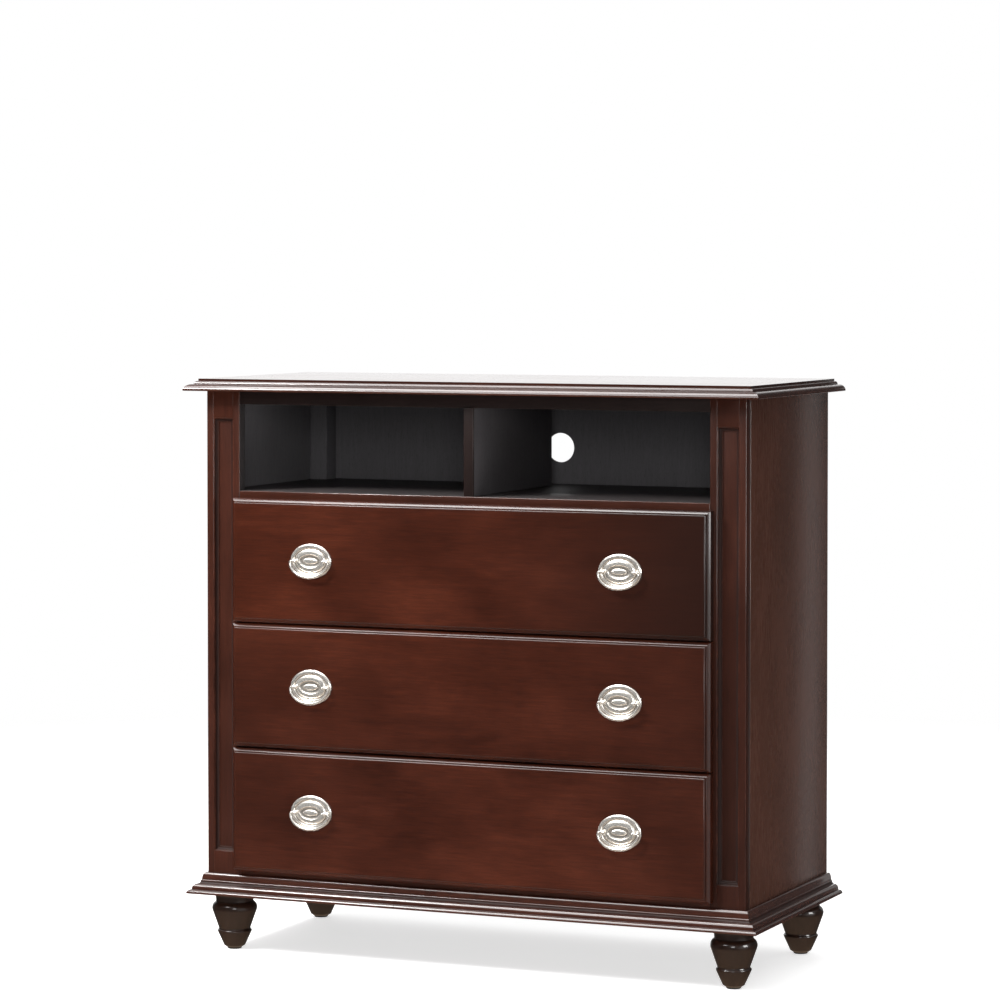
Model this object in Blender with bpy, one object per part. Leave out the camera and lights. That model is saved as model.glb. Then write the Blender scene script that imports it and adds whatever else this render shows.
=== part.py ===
"""Media chest: three drawers under an open two-bay media compartment.

The case is a face frame on panelled sides, with a sunk panel in each front post, a
moulded top, a moulded base and four turned feet. Each drawer front overlaps its opening
and carries two oval pulls with swinging bails.

Metres. +X is to the right, +Y to the back and +Z up. The origin is on the floor under
the middle of the top.
"""

import math

import bmesh
import bpy
from mathutils import Vector

# Fits
SEAT = 0.0003
DRAWER_SIDE_CLEARANCE = 0.004
RUNNER_CLEARANCE = 0.0012
DRAWER_BUMPER_GAP = 0.0012
PIN_CLEARANCE = 0.0003

# Case
CASE_WIDTH = 1.003
CASE_DEPTH = 0.428
SIDE_THICKNESS = 0.018
FRAME_THICKNESS = 0.022
POST_WIDTH = 0.0635
RAIL_SETBACK = 0.002
TOP_RAIL_HEIGHT = 0.023
DRAWER_RAIL_HEIGHT = 0.018
BACK_THICKNESS = 0.006
BACK_INSET = 0.010
BOTTOM_THICKNESS = 0.018
REAR_POST_WIDTH = 0.034
REAR_POST_DEPTH = 0.040
ARRIS = 0.0008

# Sunk panel of each front post
STILE_WIDTH = 0.0125
PANEL_TOP_BLOCK = 0.0475
PANEL_BOTTOM_BLOCK = 0.0395
PANEL_DEPTH = 0.008
BEAD_FILLET = 0.0014
BEAD_COVE = 0.0046
BEAD_QUIRK = 0.0012
BEAD_STEP = 0.0012
BEAD_RISE = 0.0012

# Media compartment
MEDIA_HEIGHT = 0.1515
SHELF_THICKNESS = 0.020
SHELF_REVEAL = 0.012
DIVIDER_THICKNESS = 0.018
DIVIDER_BACK_GAP = 0.062
CABLE_HOLE_DIAMETER = 0.053
CABLE_HOLE_HEIGHT = 0.0655

# Moulded top
TOP_OVERHANG = 0.032
TOP_EDGE_WIDTH = 0.050
TOP_UNDERCUT = 0.0009
TOP_NOSE_WIDTH = 0.0134
TOP_NOSE_HEIGHT = 0.0106
TOP_QUIRK = 0.0012
TOP_OVOLO_WIDTH = 0.0056
TOP_OVOLO_HEIGHT = 0.0055
TOP_LEDGE = 0.0006
TOP_FILLET_HEIGHT = 0.0040

# Moulded base
BASE_TOP_LEDGE = 0.0030
BASE_OVOLO_WIDTH = 0.0058
BASE_OVOLO_HEIGHT = 0.0131
BASE_LEDGE = 0.0010
BASE_LEDGE_HEIGHT = 0.0013
BASE_COVE_WIDTH = 0.0044
BASE_COVE_HEIGHT = 0.0048
BASE_SWELL_WIDTH = 0.0071
BASE_SWELL_HEIGHT = 0.0076
BASE_FILLET_HEIGHT = 0.0020
BASE_NOSE_LEDGE = 0.0011
BASE_NOSE_WIDTH = 0.0066
BASE_NOSE_HEIGHT = 0.0056
BASE_UNDERCUT = 0.0015

# Turned feet
FOOT_HEIGHT = 0.102
FOOT_INSET_FRONT = 0.0365
FOOT_INSET_SIDE = 0.0335
FOOT_INSET_REAR = 0.044
FOOT_HEAD_RADIUS = 0.037
FOOT_NECK_RADIUS = 0.0332
FOOT_NECK_DROP = 0.0160
FOOT_FLARE_HEIGHT = 0.0125
FOOT_BULB_RADIUS = 0.040
FOOT_BULB_DROP = 0.0290
FOOT_BULB_ARC = (60, -20)
FOOT_WAIST_RADIUS = 0.0278
FOOT_WAIST_HEIGHT = 0.0365
FOOT_RING_RADIUS = 0.0304
FOOT_RING_HEIGHT = 0.0320
FOOT_RING_ROUND = 0.0027
FOOT_RING_ARC = (75, -15)
FOOT_TOE_RADIUS = 0.0186
FOOT_TOE_HEIGHT = 0.0060
FOOT_GLIDE_RADIUS = 0.0125
FOOT_GLIDE_HEIGHT = 0.0020
FOOT_TENON_RADIUS = 0.0065
FOOT_TENON_LENGTH = 0.015

# Drawers
BOTTOM_REVEAL = 0.0096
DRAWER_GAP = 0.0025
DRAWER_OVERLAP = 0.0065
DRAWER_RAIL_LAP = 0.008
FRONT_HEIGHT = 0.216
FRONT_THICKNESS = 0.022
FRONT_SHOULDER = 0.0035
FRONT_QUIRK = 0.0008
FRONT_OVOLO = 0.0057
FRONT_TONGUE = 0.012
BOX_TOP_DROP = 0.056
BOX_BACK_CLEARANCE = 0.0252
BOX_WALL = 0.012
BOX_FLOOR = 0.005
FLOOR_RISE = 0.010
GROOVE_DEPTH = 0.006

# Drawer runners
RUNNER_LEDGE = 0.014
RUNNER_FENCE_WIDTH = 0.014
RUNNER_FENCE_HEIGHT = 0.020

# Pulls
PULL_END_INSET = 0.1575
PULL_RISE = 0.003
PLATE_HALF_WIDTH = 0.039
PLATE_HALF_HEIGHT = 0.030
PLATE_EDGE = 0.0014
PLATE_RIM_CREST = 0.0040
PLATE_RIM_WIDTH = 0.0085
PLATE_RIM_HEIGHT = 0.0042
PLATE_GROOVE_HEIGHT = 0.0020
PLATE_DOME_WIDTH = 0.0095
PLATE_DOME_HEIGHT = 0.0060
PLATE_DISH_WIDTH = 0.0065
PLATE_DISH_DEPTH = 0.0020
PLATE_EYE_WIDTH = 0.0035
PLATE_EYE_RISE = 0.0022
PIVOT_HEIGHT = 0.0105
PIVOT_HALF_SPAN = 0.0295
PIVOT_BALL_RADIUS = 0.0037
PIVOT_FOOT_RADIUS = 0.0038
PIVOT_BALL_ARC = (90, -50)
BAIL_PIN_RADIUS = 0.0015
BAIL_PIN_REACH = 0.0042
BAIL_HALF_WIDTH = 0.036
BAIL_DROP = 0.028
BAIL_CORNER = 0.003
BAIL_CORNER_ARC = (90, 45)
BAIL_END_RADIUS = 0.0018
BAIL_GRIP_RADIUS = 0.0027

# Fineness of the round work
ARC_STEPS = 4
PLATE_STEPS = 3
FOOT_SEGMENTS = 20
PLATE_SEGMENTS = 22
HOLE_SEGMENTS = 32
TENON_SEGMENTS = 16
PIVOT_SEGMENTS = 8
BAIL_SIDES = 8
BAIL_STEPS = 16
SMOOTH_ANGLE = math.radians(35)

# Levels and planes worked out from the sizes above
DRAWERS = ("bottom", "middle", "top")
SIDES = {"left": -1, "right": 1}

TOP_THICKNESS = TOP_UNDERCUT + TOP_NOSE_HEIGHT + TOP_OVOLO_HEIGHT + TOP_FILLET_HEIGHT
BASE_HEIGHT = (
    BASE_UNDERCUT
    + BASE_NOSE_HEIGHT
    + BASE_FILLET_HEIGHT
    + BASE_SWELL_HEIGHT
    + BASE_COVE_HEIGHT
    + BASE_LEDGE_HEIGHT
    + BASE_OVOLO_HEIGHT
)
BASE_OVERHANG = (
    BASE_TOP_LEDGE
    + BASE_OVOLO_WIDTH
    + BASE_LEDGE
    + BASE_COVE_WIDTH
    + BASE_SWELL_WIDTH
    + BASE_NOSE_LEDGE
    + BASE_NOSE_WIDTH
)

Y_BACK = (CASE_DEPTH + TOP_OVERHANG) / 2
Y_POST = Y_BACK - CASE_DEPTH
Y_RAIL = Y_POST + RAIL_SETBACK
Y_FRAME = Y_POST + FRAME_THICKNESS
Y_BACK_PANEL = Y_BACK - BACK_INSET - BACK_THICKNESS
Y_REAR_POST = Y_BACK_PANEL - SEAT - REAR_POST_DEPTH
Y_FRONT_BACK = Y_POST - DRAWER_BUMPER_GAP
Y_FRONT_FACE = Y_FRONT_BACK - FRONT_THICKNESS

X_CASE = CASE_WIDTH / 2
X_POST = X_CASE - POST_WIDTH
X_INNER = X_CASE - SIDE_THICKNESS
X_REAR_POST = X_INNER - SEAT - REAR_POST_WIDTH
X_BOX = X_POST - DRAWER_SIDE_CLEARANCE
X_FRONT = X_POST + DRAWER_OVERLAP

FRONT_PITCH = FRONT_HEIGHT + DRAWER_GAP
Z_BASE = FOOT_HEIGHT
Z_FLOOR = Z_BASE + BOTTOM_THICKNESS
Z_BASE_TOP = Z_BASE + BASE_HEIGHT
Z_DRAWERS = Z_BASE_TOP + BOTTOM_REVEAL
Z_SHELF = Z_DRAWERS + len(DRAWERS) * FRONT_PITCH - DRAWER_GAP + SHELF_REVEAL
Z_TOP_RAIL = Z_SHELF + MEDIA_HEIGHT
Z_CASE_TOP = Z_TOP_RAIL + TOP_RAIL_HEIGHT
Z_TOP = Z_CASE_TOP + TOP_THICKNESS

# Finishes: base colour, roughness, metallic
FRONT_WOOD = ((0.066, 0.018, 0.010), 0.30, 0.0)
FRAME_WOOD = ((0.050, 0.017, 0.011), 0.32, 0.0)
SIDE_WOOD = ((0.058, 0.028, 0.021), 0.36, 0.0)
TOP_WOOD = ((0.045, 0.016, 0.011), 0.22, 0.0)
FOOT_WOOD = ((0.032, 0.019, 0.013), 0.28, 0.0)
INNER_WOOD = ((0.016, 0.014, 0.014), 0.45, 0.0)
BOX_WOOD = ((0.46, 0.31, 0.18), 0.60, 0.0)
NICKEL = ((0.78, 0.75, 0.69), 0.20, 1.0)


# Building blocks


def arc(centre, radii, start, end, steps=ARC_STEPS):
    """Points of an elliptical arc in a profile's plane, from start to end in degrees."""
    angles = [math.radians(start + (end - start) * i / steps) for i in range(steps + 1)]
    return [(centre[0] + radii[0] * math.cos(a), centre[1] + radii[1] * math.sin(a)) for a in angles]


def skin(rings, closed=False):
    """A mesh over a row of rings of points, with its ends capped unless the row closes on itself."""
    mesh = bmesh.new()
    loops = [[mesh.verts.new(point) for point in ring] for ring in rings]
    pairs = list(zip(loops, loops[1:]))
    if closed:
        pairs.append((loops[-1], loops[0]))
    for near, far in pairs:
        count = len(near)
        for i in range(count):
            j = (i + 1) % count
            mesh.faces.new((near[i], near[j], far[j], far[i]))
    if not closed:
        mesh.faces.new(loops[0])
        mesh.faces.new(reversed(loops[-1]))
    bmesh.ops.recalc_face_normals(mesh, faces=mesh.faces)
    return mesh


def prism(outline, axis, low, high):
    """An outline in the plane across an axis, given a length along it."""
    place = "XYZ".index(axis)
    return skin([[(*point[:place], level, *point[place:]) for point in outline] for level in (low, high)])


def board(x, y, z):
    """A plain board between its limits on each axis."""
    outline = [(x[0], y[0]), (x[1], y[0]), (x[1], y[1]), (x[0], y[1])]
    return prism(outline, "Z", z[0], z[1])


def frame_ring(x, z, y):
    """A rectangle of four points across Y."""
    return [(x[0], y, z[0]), (x[1], y, z[0]), (x[1], y, z[1]), (x[0], y, z[1])]


def shrunk(limits, inset):
    """Limits drawn in by an inset at both ends."""
    return (limits[0] + inset, limits[1] - inset)


def turned(profile, segments):
    """A turning: a profile of radius and height, from one end of the Z axis to the other."""
    mesh = bmesh.new()
    points = [mesh.verts.new((radius, 0.0, height)) for radius, height in profile]
    edges = [mesh.edges.new(pair) for pair in zip(points, points[1:])]
    bmesh.ops.spin(
        mesh,
        geom=points + edges,
        cent=(0.0, 0.0, 0.0),
        axis=(0.0, 0.0, 1.0),
        angle=2 * math.pi,
        steps=segments,
        use_merge=True,
    )
    bmesh.ops.remove_doubles(mesh, verts=mesh.verts, dist=0.00001)
    bmesh.ops.recalc_face_normals(mesh, faces=mesh.faces)
    return mesh


def finish_of(name, finish):
    """The material of one piece."""
    colour, roughness, metallic = finish
    material = bpy.data.materials.new(name)
    material.use_nodes = True
    shader = material.node_tree.nodes["Principled BSDF"]
    shader.inputs["Base Color"].default_value = (*colour, 1.0)
    shader.inputs["Roughness"].default_value = roughness
    shader.inputs["Metallic"].default_value = metallic
    return material


def middle_of(mesh):
    """The middle of a mesh's box."""
    low = Vector([min(vert.co[i] for vert in mesh.verts) for i in range(3)])
    high = Vector([max(vert.co[i] for vert in mesh.verts) for i in range(3)])
    return (low + high) / 2


def data_of(name, mesh, smooth=False):
    """A mesh's data, shaded flat or, for round work, smooth."""
    data = bpy.data.meshes.new(name)
    mesh.to_mesh(data)
    mesh.free()
    if smooth:
        data.shade_smooth()
        data.set_sharp_from_angle(angle=SMOOTH_ANGLE)
    return data


def add_piece(name, mesh, finish, parent=None):
    """A named object from a mesh in the chest's frame, with its origin at the mesh's middle."""
    place = middle_of(mesh)
    bmesh.ops.translate(mesh, verts=mesh.verts, vec=-place)
    return add_copy(name, data_of(name, mesh), finish, place, parent)


def add_copy(name, data, finish, place, parent=None):
    """A named object that may share its mesh data with others, at a place in the chest's frame."""
    piece = bpy.data.objects.new(name, data)
    bpy.context.collection.objects.link(piece)
    if not data.materials:
        data.materials.append(None)
    piece.material_slots[0].link = "OBJECT"
    piece.material_slots[0].material = finish_of(name, finish)
    piece.location = place if parent is None else Vector(place) - parent.location
    piece.parent = parent
    return piece


def add_tool(name, mesh):
    """A shape that cuts or joins another piece and isn't a piece itself."""
    tool = bpy.data.objects.new(name, data_of(name, mesh))
    bpy.context.collection.objects.link(tool)
    tool.hide_render = True
    tool.display_type = "WIRE"
    return tool


def combine(piece, tool, operation):
    """Join a tool to a piece, or cut it out."""
    change = piece.modifiers.new(tool.name, "BOOLEAN")
    change.operation = operation
    change.solver = "EXACT"
    change.object = tool


def rod(centre, axis, radius, length, segments):
    """A round rod along X, Y or Z about its centre."""
    half = length / 2
    ring = [
        (radius * math.cos(2 * math.pi * i / segments), radius * math.sin(2 * math.pi * i / segments))
        for i in range(segments)
    ]
    mesh = prism(ring, axis, -half, half)
    bmesh.ops.translate(mesh, verts=mesh.verts, vec=centre)
    return mesh


# Top and base mouldings


def top_edge_profile():
    """Outset from the case and height above it, round the section of the top's moulded edge."""
    inner = TOP_OVERHANG - TOP_EDGE_WIDTH
    nose = TOP_OVERHANG - TOP_NOSE_WIDTH
    ovolo = nose - TOP_QUIRK - TOP_OVOLO_WIDTH
    fillet = ovolo - TOP_LEDGE
    z_nose = TOP_UNDERCUT + TOP_NOSE_HEIGHT
    z_ovolo = z_nose + TOP_OVOLO_HEIGHT
    return [
        (inner, 0.0),
        (TOP_OVERHANG - TOP_UNDERCUT, 0.0),
        *arc((nose, TOP_UNDERCUT), (TOP_NOSE_WIDTH, TOP_NOSE_HEIGHT), 0, 90),
        *arc((ovolo, z_nose), (TOP_OVOLO_WIDTH, TOP_OVOLO_HEIGHT), 0, 90),
        (fillet, z_ovolo),
        (fillet, TOP_THICKNESS),
        (inner, TOP_THICKNESS),
    ]


def base_profile():
    """Outset from the case and height above the feet, round the section of the base moulding."""
    ovolo = BASE_TOP_LEDGE
    cove = ovolo + BASE_OVOLO_WIDTH + BASE_LEDGE
    swell = cove + BASE_COVE_WIDTH
    fillet = swell + BASE_SWELL_WIDTH
    nose = fillet + BASE_NOSE_LEDGE
    z_nose = BASE_UNDERCUT + BASE_NOSE_HEIGHT
    z_swell = z_nose + BASE_FILLET_HEIGHT
    z_ledge = z_swell + BASE_SWELL_HEIGHT + BASE_COVE_HEIGHT
    z_ovolo = z_ledge + BASE_LEDGE_HEIGHT
    return [
        (SEAT, 0.0),
        (BASE_OVERHANG - BASE_UNDERCUT, 0.0),
        *arc((nose, BASE_UNDERCUT), (BASE_NOSE_WIDTH, BASE_NOSE_HEIGHT), 0, 90),
        (fillet, z_nose),
        *arc((swell, z_swell), (BASE_SWELL_WIDTH, BASE_SWELL_HEIGHT), 0, 90),
        *arc((swell, z_ledge), (BASE_COVE_WIDTH, BASE_COVE_HEIGHT), 270, 180)[1:],
        (cove, z_ovolo),
        *arc((ovolo, z_ovolo), (BASE_OVOLO_WIDTH, BASE_OVOLO_HEIGHT), 0, 90),
        (SEAT, BASE_HEIGHT),
    ]


def add_moulding(name, profile, z, finish):
    """Three lengths of moulding round the front and sides of the case, mitred at the front corners."""
    mitre = SEAT / math.sqrt(2)
    ends = [
        [(sign * (X_CASE + outset - mitre), Y_POST - outset, z + height) for outset, height in profile]
        for sign in SIDES.values()
    ]
    add_piece(f"{name}_front", skin(ends), finish)
    for side, sign in SIDES.items():
        ends = [
            [(sign * (X_CASE + outset), Y_POST - outset + mitre, z + height) for outset, height in profile],
            [(sign * (X_CASE + outset), Y_BACK, z + height) for outset, height in profile],
        ]
        add_piece(f"{name}_{side}", skin(ends), finish)


def add_top():
    """The top board inside its mitred edge moulding."""
    add_moulding("top_moulding", top_edge_profile(), Z_CASE_TOP + SEAT, TOP_WOOD)
    x_edge = X_CASE + TOP_OVERHANG - TOP_EDGE_WIDTH - SEAT
    y_edge = Y_POST - TOP_OVERHANG + TOP_EDGE_WIDTH + SEAT
    z = (Z_CASE_TOP + SEAT, Z_TOP + SEAT)
    add_piece("top_panel", board((-x_edge, x_edge), (y_edge, Y_BACK), z), TOP_WOOD)


# Feet


def foot_profile():
    """Radius and height of the turned foot, from the top of its tenon to the floor."""
    z_bulb = FOOT_HEIGHT - FOOT_BULB_DROP
    z_neck = FOOT_HEIGHT - FOOT_NECK_DROP
    head = FOOT_HEIGHT - SEAT
    bulb_core = FOOT_NECK_RADIUS - (FOOT_BULB_RADIUS - FOOT_NECK_RADIUS)
    bulb = (FOOT_BULB_RADIUS - bulb_core, z_neck - z_bulb)
    ring = FOOT_RING_RADIUS - FOOT_WAIST_RADIUS
    return [
        (0.0, head + FOOT_TENON_LENGTH),
        (FOOT_TENON_RADIUS, head + FOOT_TENON_LENGTH),
        (FOOT_TENON_RADIUS, head),
        (FOOT_HEAD_RADIUS, head),
        *arc((FOOT_HEAD_RADIUS, z_neck), (FOOT_HEAD_RADIUS - FOOT_NECK_RADIUS, FOOT_FLARE_HEIGHT), 90, 180),
        *arc((bulb_core, z_bulb), bulb, *FOOT_BULB_ARC, 2 * ARC_STEPS),
        (FOOT_WAIST_RADIUS, FOOT_WAIST_HEIGHT),
        *arc((FOOT_WAIST_RADIUS, FOOT_RING_HEIGHT), (ring, FOOT_RING_ROUND), *FOOT_RING_ARC),
        (FOOT_TOE_RADIUS, FOOT_TOE_HEIGHT),
        (FOOT_GLIDE_RADIUS, FOOT_GLIDE_HEIGHT),
        (FOOT_GLIDE_RADIUS, 0.0),
        (0.0, 0.0),
    ]


def foot_places():
    """Each foot's name and the place of its axis."""
    rows = {"front": Y_POST + FOOT_INSET_FRONT, "rear": Y_BACK - FOOT_INSET_REAR}
    return {
        f"foot_{row}_{side}": (sign * (X_CASE - FOOT_INSET_SIDE), y, 0.0)
        for row, y in rows.items()
        for side, sign in SIDES.items()
    }


def add_feet():
    """Four feet from one turning."""
    data = data_of("foot", turned(foot_profile(), FOOT_SEGMENTS), smooth=True)
    for name, place in foot_places().items():
        add_copy(name, data, FOOT_WOOD, place)


# Case


def add_posts():
    """Front posts with their sunk panels, and the bead that frames each panel."""
    z = (Z_BASE, Z_CASE_TOP)
    z_panel = (Z_BASE_TOP + PANEL_BOTTOM_BLOCK, Z_CASE_TOP - PANEL_TOP_BLOCK)
    for side, sign in SIDES.items():
        x = tuple(sorted((sign * X_POST, sign * X_CASE)))
        x_panel = shrunk(x, STILE_WIDTH)
        post = [
            frame_ring(x, z, Y_FRAME),
            frame_ring(x, z, Y_POST + ARRIS),
            frame_ring(shrunk(x, ARRIS), z, Y_POST),
            frame_ring(x_panel, z_panel, Y_POST),
            frame_ring(x_panel, z_panel, Y_POST + PANEL_DEPTH),
        ]
        add_piece(f"front_post_{side}", skin(post), FRAME_WOOD)
        bead = [
            frame_ring(shrunk(x_panel, inset), shrunk(z_panel, inset), Y_POST + depth)
            for inset, depth in bead_section()
        ]
        add_piece(f"post_bead_{side}", skin(bead, closed=True), FRAME_WOOD)


def bead_section():
    """Inset from the panel's edge and depth behind the post's face, round the bead's section."""
    seat = PANEL_DEPTH - SEAT
    cove_depth = seat - BEAD_RISE - BEAD_STEP
    inner = BEAD_FILLET + BEAD_COVE + BEAD_QUIRK
    return [
        (SEAT, seat),
        (SEAT, BEAD_STEP),
        (BEAD_FILLET, BEAD_STEP),
        *arc((BEAD_FILLET + BEAD_COVE, BEAD_STEP), (BEAD_COVE, cove_depth), 180, 90)[1:],
        (inner, seat - BEAD_RISE),
        (inner, seat),
    ]


def add_rails():
    """Rails of the face frame, between the posts."""
    x = shrunk((-X_POST, X_POST), SEAT)
    y = (Y_RAIL, Y_FRAME)
    add_piece("top_rail", board(x, y, (Z_TOP_RAIL, Z_CASE_TOP)), FRAME_WOOD)
    add_piece("bottom_rail", board(x, y, (Z_BASE, Z_DRAWERS + DRAWER_RAIL_LAP)), FRAME_WOOD)
    for name, below in (("lower", 0), ("upper", 1)):
        z = rail_limits(below)
        add_piece(f"drawer_rail_{name}", board(x, y, z), FRAME_WOOD)


def rail_limits(below):
    """Underside and top of the rail over a drawer, counted from the bottom one."""
    middle = Z_DRAWERS + (below + 1) * FRONT_PITCH - DRAWER_GAP / 2
    return (middle - DRAWER_RAIL_HEIGHT / 2, middle + DRAWER_RAIL_HEIGHT / 2)


def opening_floor(level):
    """Height on which a drawer runs: the top of the rail under it."""
    return Z_DRAWERS + DRAWER_RAIL_LAP if level == 0 else rail_limits(level - 1)[1]


def add_sides():
    """Side panels, and the rear posts that stand on the bottom panel and hold the back."""
    for side, sign in SIDES.items():
        x = tuple(sorted((sign * X_INNER, sign * X_CASE)))
        add_piece(f"side_panel_{side}", board(x, (Y_FRAME + SEAT, Y_BACK), (Z_BASE, Z_CASE_TOP)), SIDE_WOOD)
        x = tuple(sorted((sign * X_REAR_POST, sign * (X_REAR_POST + REAR_POST_WIDTH))))
        y = (Y_REAR_POST, Y_REAR_POST + REAR_POST_DEPTH)
        add_piece(f"rear_post_{side}", board(x, y, (Z_FLOOR + SEAT, Z_CASE_TOP)), FRAME_WOOD)


def add_back():
    """Back panel with the hole for cables."""
    x = shrunk((-X_INNER, X_INNER), SEAT)
    y = (Y_BACK_PANEL, Y_BACK_PANEL + BACK_THICKNESS)
    back = add_piece("back_panel", board(x, y, (Z_FLOOR + SEAT, Z_CASE_TOP)), INNER_WOOD)
    centre = (0.0, sum(y) / 2, Z_SHELF + CABLE_HOLE_HEIGHT)
    hole = rod(centre, "Y", CABLE_HOLE_DIAMETER / 2, 3 * BACK_THICKNESS, HOLE_SEGMENTS)
    combine(back, add_tool("cable_hole", hole), "DIFFERENCE")


def add_bottom():
    """Bottom panel, bored for the tenons of the feet."""
    x = shrunk((-X_INNER, X_INNER), SEAT)
    y = (Y_FRAME + SEAT, Y_BACK)
    bottom = add_piece("bottom_panel", board(x, y, (Z_BASE, Z_FLOOR)), INNER_WOOD)
    for name, place in foot_places().items():
        centre = (place[0], place[1], Z_BASE + BOTTOM_THICKNESS / 2)
        socket = rod(centre, "Z", FOOT_TENON_RADIUS + SEAT, 3 * BOTTOM_THICKNESS, TENON_SEGMENTS)
        combine(bottom, add_tool(f"socket_{name}", socket), "DIFFERENCE")


def add_media_compartment():
    """Shelf, notched round all four posts, and the divider that stops short of the back."""
    x_front = X_POST - SEAT
    x_rear = X_REAR_POST - SEAT
    x_wide = X_INNER - SEAT
    y_notch = Y_FRAME + SEAT
    y_rear = Y_REAR_POST - SEAT
    y_back = Y_BACK_PANEL - SEAT
    half = [
        (x_front, Y_POST),
        (x_front, y_notch),
        (x_wide, y_notch),
        (x_wide, y_rear),
        (x_rear, y_rear),
        (x_rear, y_back),
    ]
    outline = half + [(-x, y) for x, y in reversed(half)]
    shelf = prism(outline, "Z", Z_SHELF - SHELF_THICKNESS, Z_SHELF)
    add_piece("media_shelf", shelf, INNER_WOOD)
    y_end = Y_BACK_PANEL - DIVIDER_BACK_GAP
    low = Z_SHELF + SEAT
    under_rail = Z_TOP_RAIL - SEAT
    outline = [
        (Y_POST, low),
        (y_end, low),
        (y_end, Z_CASE_TOP),
        (y_notch, Z_CASE_TOP),
        (y_notch, under_rail),
        (Y_POST, under_rail),
    ]
    divider = prism(outline, "X", -DIVIDER_THICKNESS / 2, DIVIDER_THICKNESS / 2)
    add_piece("media_divider", divider, INNER_WOOD)


def add_runners():
    """A runner each side of each drawer: a ledge to slide on and a fence to guide it."""
    fence = X_BOX + RUNNER_CLEARANCE
    outer = X_INNER - SEAT
    y = (Y_FRAME + SEAT, Y_REAR_POST - SEAT)
    for level, drawer in enumerate(DRAWERS):
        top = opening_floor(level)
        low = top - DRAWER_RAIL_HEIGHT
        section = [
            (X_BOX - RUNNER_LEDGE, low),
            (outer, low),
            (outer, top),
            (fence + RUNNER_FENCE_WIDTH, top),
            (fence + RUNNER_FENCE_WIDTH, top + RUNNER_FENCE_HEIGHT),
            (fence, top + RUNNER_FENCE_HEIGHT),
            (fence, top),
            (X_BOX - RUNNER_LEDGE, top),
        ]
        for side, sign in SIDES.items():
            outline = [(sign * x, z) for x, z in section]
            add_piece(f"runner_{drawer}_{side}", prism(outline, "Y", *y), BOX_WOOD)


# Drawers


def front_edge_section():
    """Inset from the drawer front's edge and depth behind its face, along the moulded edge."""
    inset = FRONT_SHOULDER + FRONT_QUIRK + FRONT_OVOLO
    quirk_depth = FRONT_SHOULDER + FRONT_QUIRK
    ovolo = FRONT_OVOLO
    return [
        *arc((inset, FRONT_SHOULDER), (FRONT_SHOULDER, FRONT_SHOULDER), -90, -180),
        (FRONT_QUIRK + ovolo, quirk_depth),
        *arc((ovolo, quirk_depth + ovolo), (ovolo, ovolo), -90, -180),
    ]


def add_drawer(level, drawer):
    """One drawer: its lipped front, box, and pulls, on an empty at its front opening."""
    z_front = Z_DRAWERS + level * FRONT_PITCH
    slide = bpy.data.objects.new(f"slide_{drawer}", None)
    bpy.context.collection.objects.link(slide)
    slide.location = (0.0, Y_POST, z_front + FRONT_HEIGHT / 2)

    z_low = opening_floor(level) + SEAT
    z_high = z_low + FRONT_HEIGHT - BOX_TOP_DROP
    z_floor = z_low + FLOOR_RISE
    x_inner = X_BOX - BOX_WALL
    x_between = x_inner - SEAT
    y_box = (Y_FRONT_BACK + SEAT, Y_BACK_PANEL - BOX_BACK_CLEARANCE)
    above_floor = z_floor + BOX_FLOOR + SEAT

    x = (-X_FRONT, X_FRONT)
    z = (z_front, z_front + FRONT_HEIGHT)
    tongue_x = (-x_between, x_between)
    tongue_z = (above_floor, z_high)
    rings = [
        frame_ring(shrunk(x, inset), shrunk(z, inset), Y_FRONT_FACE + depth)
        for inset, depth in front_edge_section()
    ]
    rings.append(frame_ring(x, z, Y_FRONT_BACK))
    rings.append(frame_ring(tongue_x, tongue_z, Y_FRONT_BACK))
    rings.append(frame_ring(tongue_x, tongue_z, Y_FRONT_BACK + FRONT_TONGUE))
    add_piece(f"drawer_{drawer}_front", skin(rings), FRONT_WOOD, slide)

    groove = x_inner + GROOVE_DEPTH
    section = [
        (X_BOX, z_low),
        (X_BOX, z_high),
        (x_inner, z_high),
        (x_inner, above_floor),
        (groove, above_floor),
        (groove, z_floor - SEAT),
        (x_inner, z_floor - SEAT),
        (x_inner, z_low),
    ]
    for side, sign in SIDES.items():
        outline = [(sign * u, v) for u, v in section]
        add_piece(f"drawer_{drawer}_side_{side}", prism(outline, "Y", *y_box), BOX_WOOD, slide)

    back = board((-x_between, x_between), (y_box[1] - BOX_WALL, y_box[1]), (above_floor, z_high))
    add_piece(f"drawer_{drawer}_back", back, BOX_WOOD, slide)
    x_floor = groove - SEAT
    floor = board((-x_floor, x_floor), y_box, (z_floor, z_floor + BOX_FLOOR))
    add_piece(f"drawer_{drawer}_bottom", floor, BOX_WOOD, slide)
    return slide


# Pulls


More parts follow.
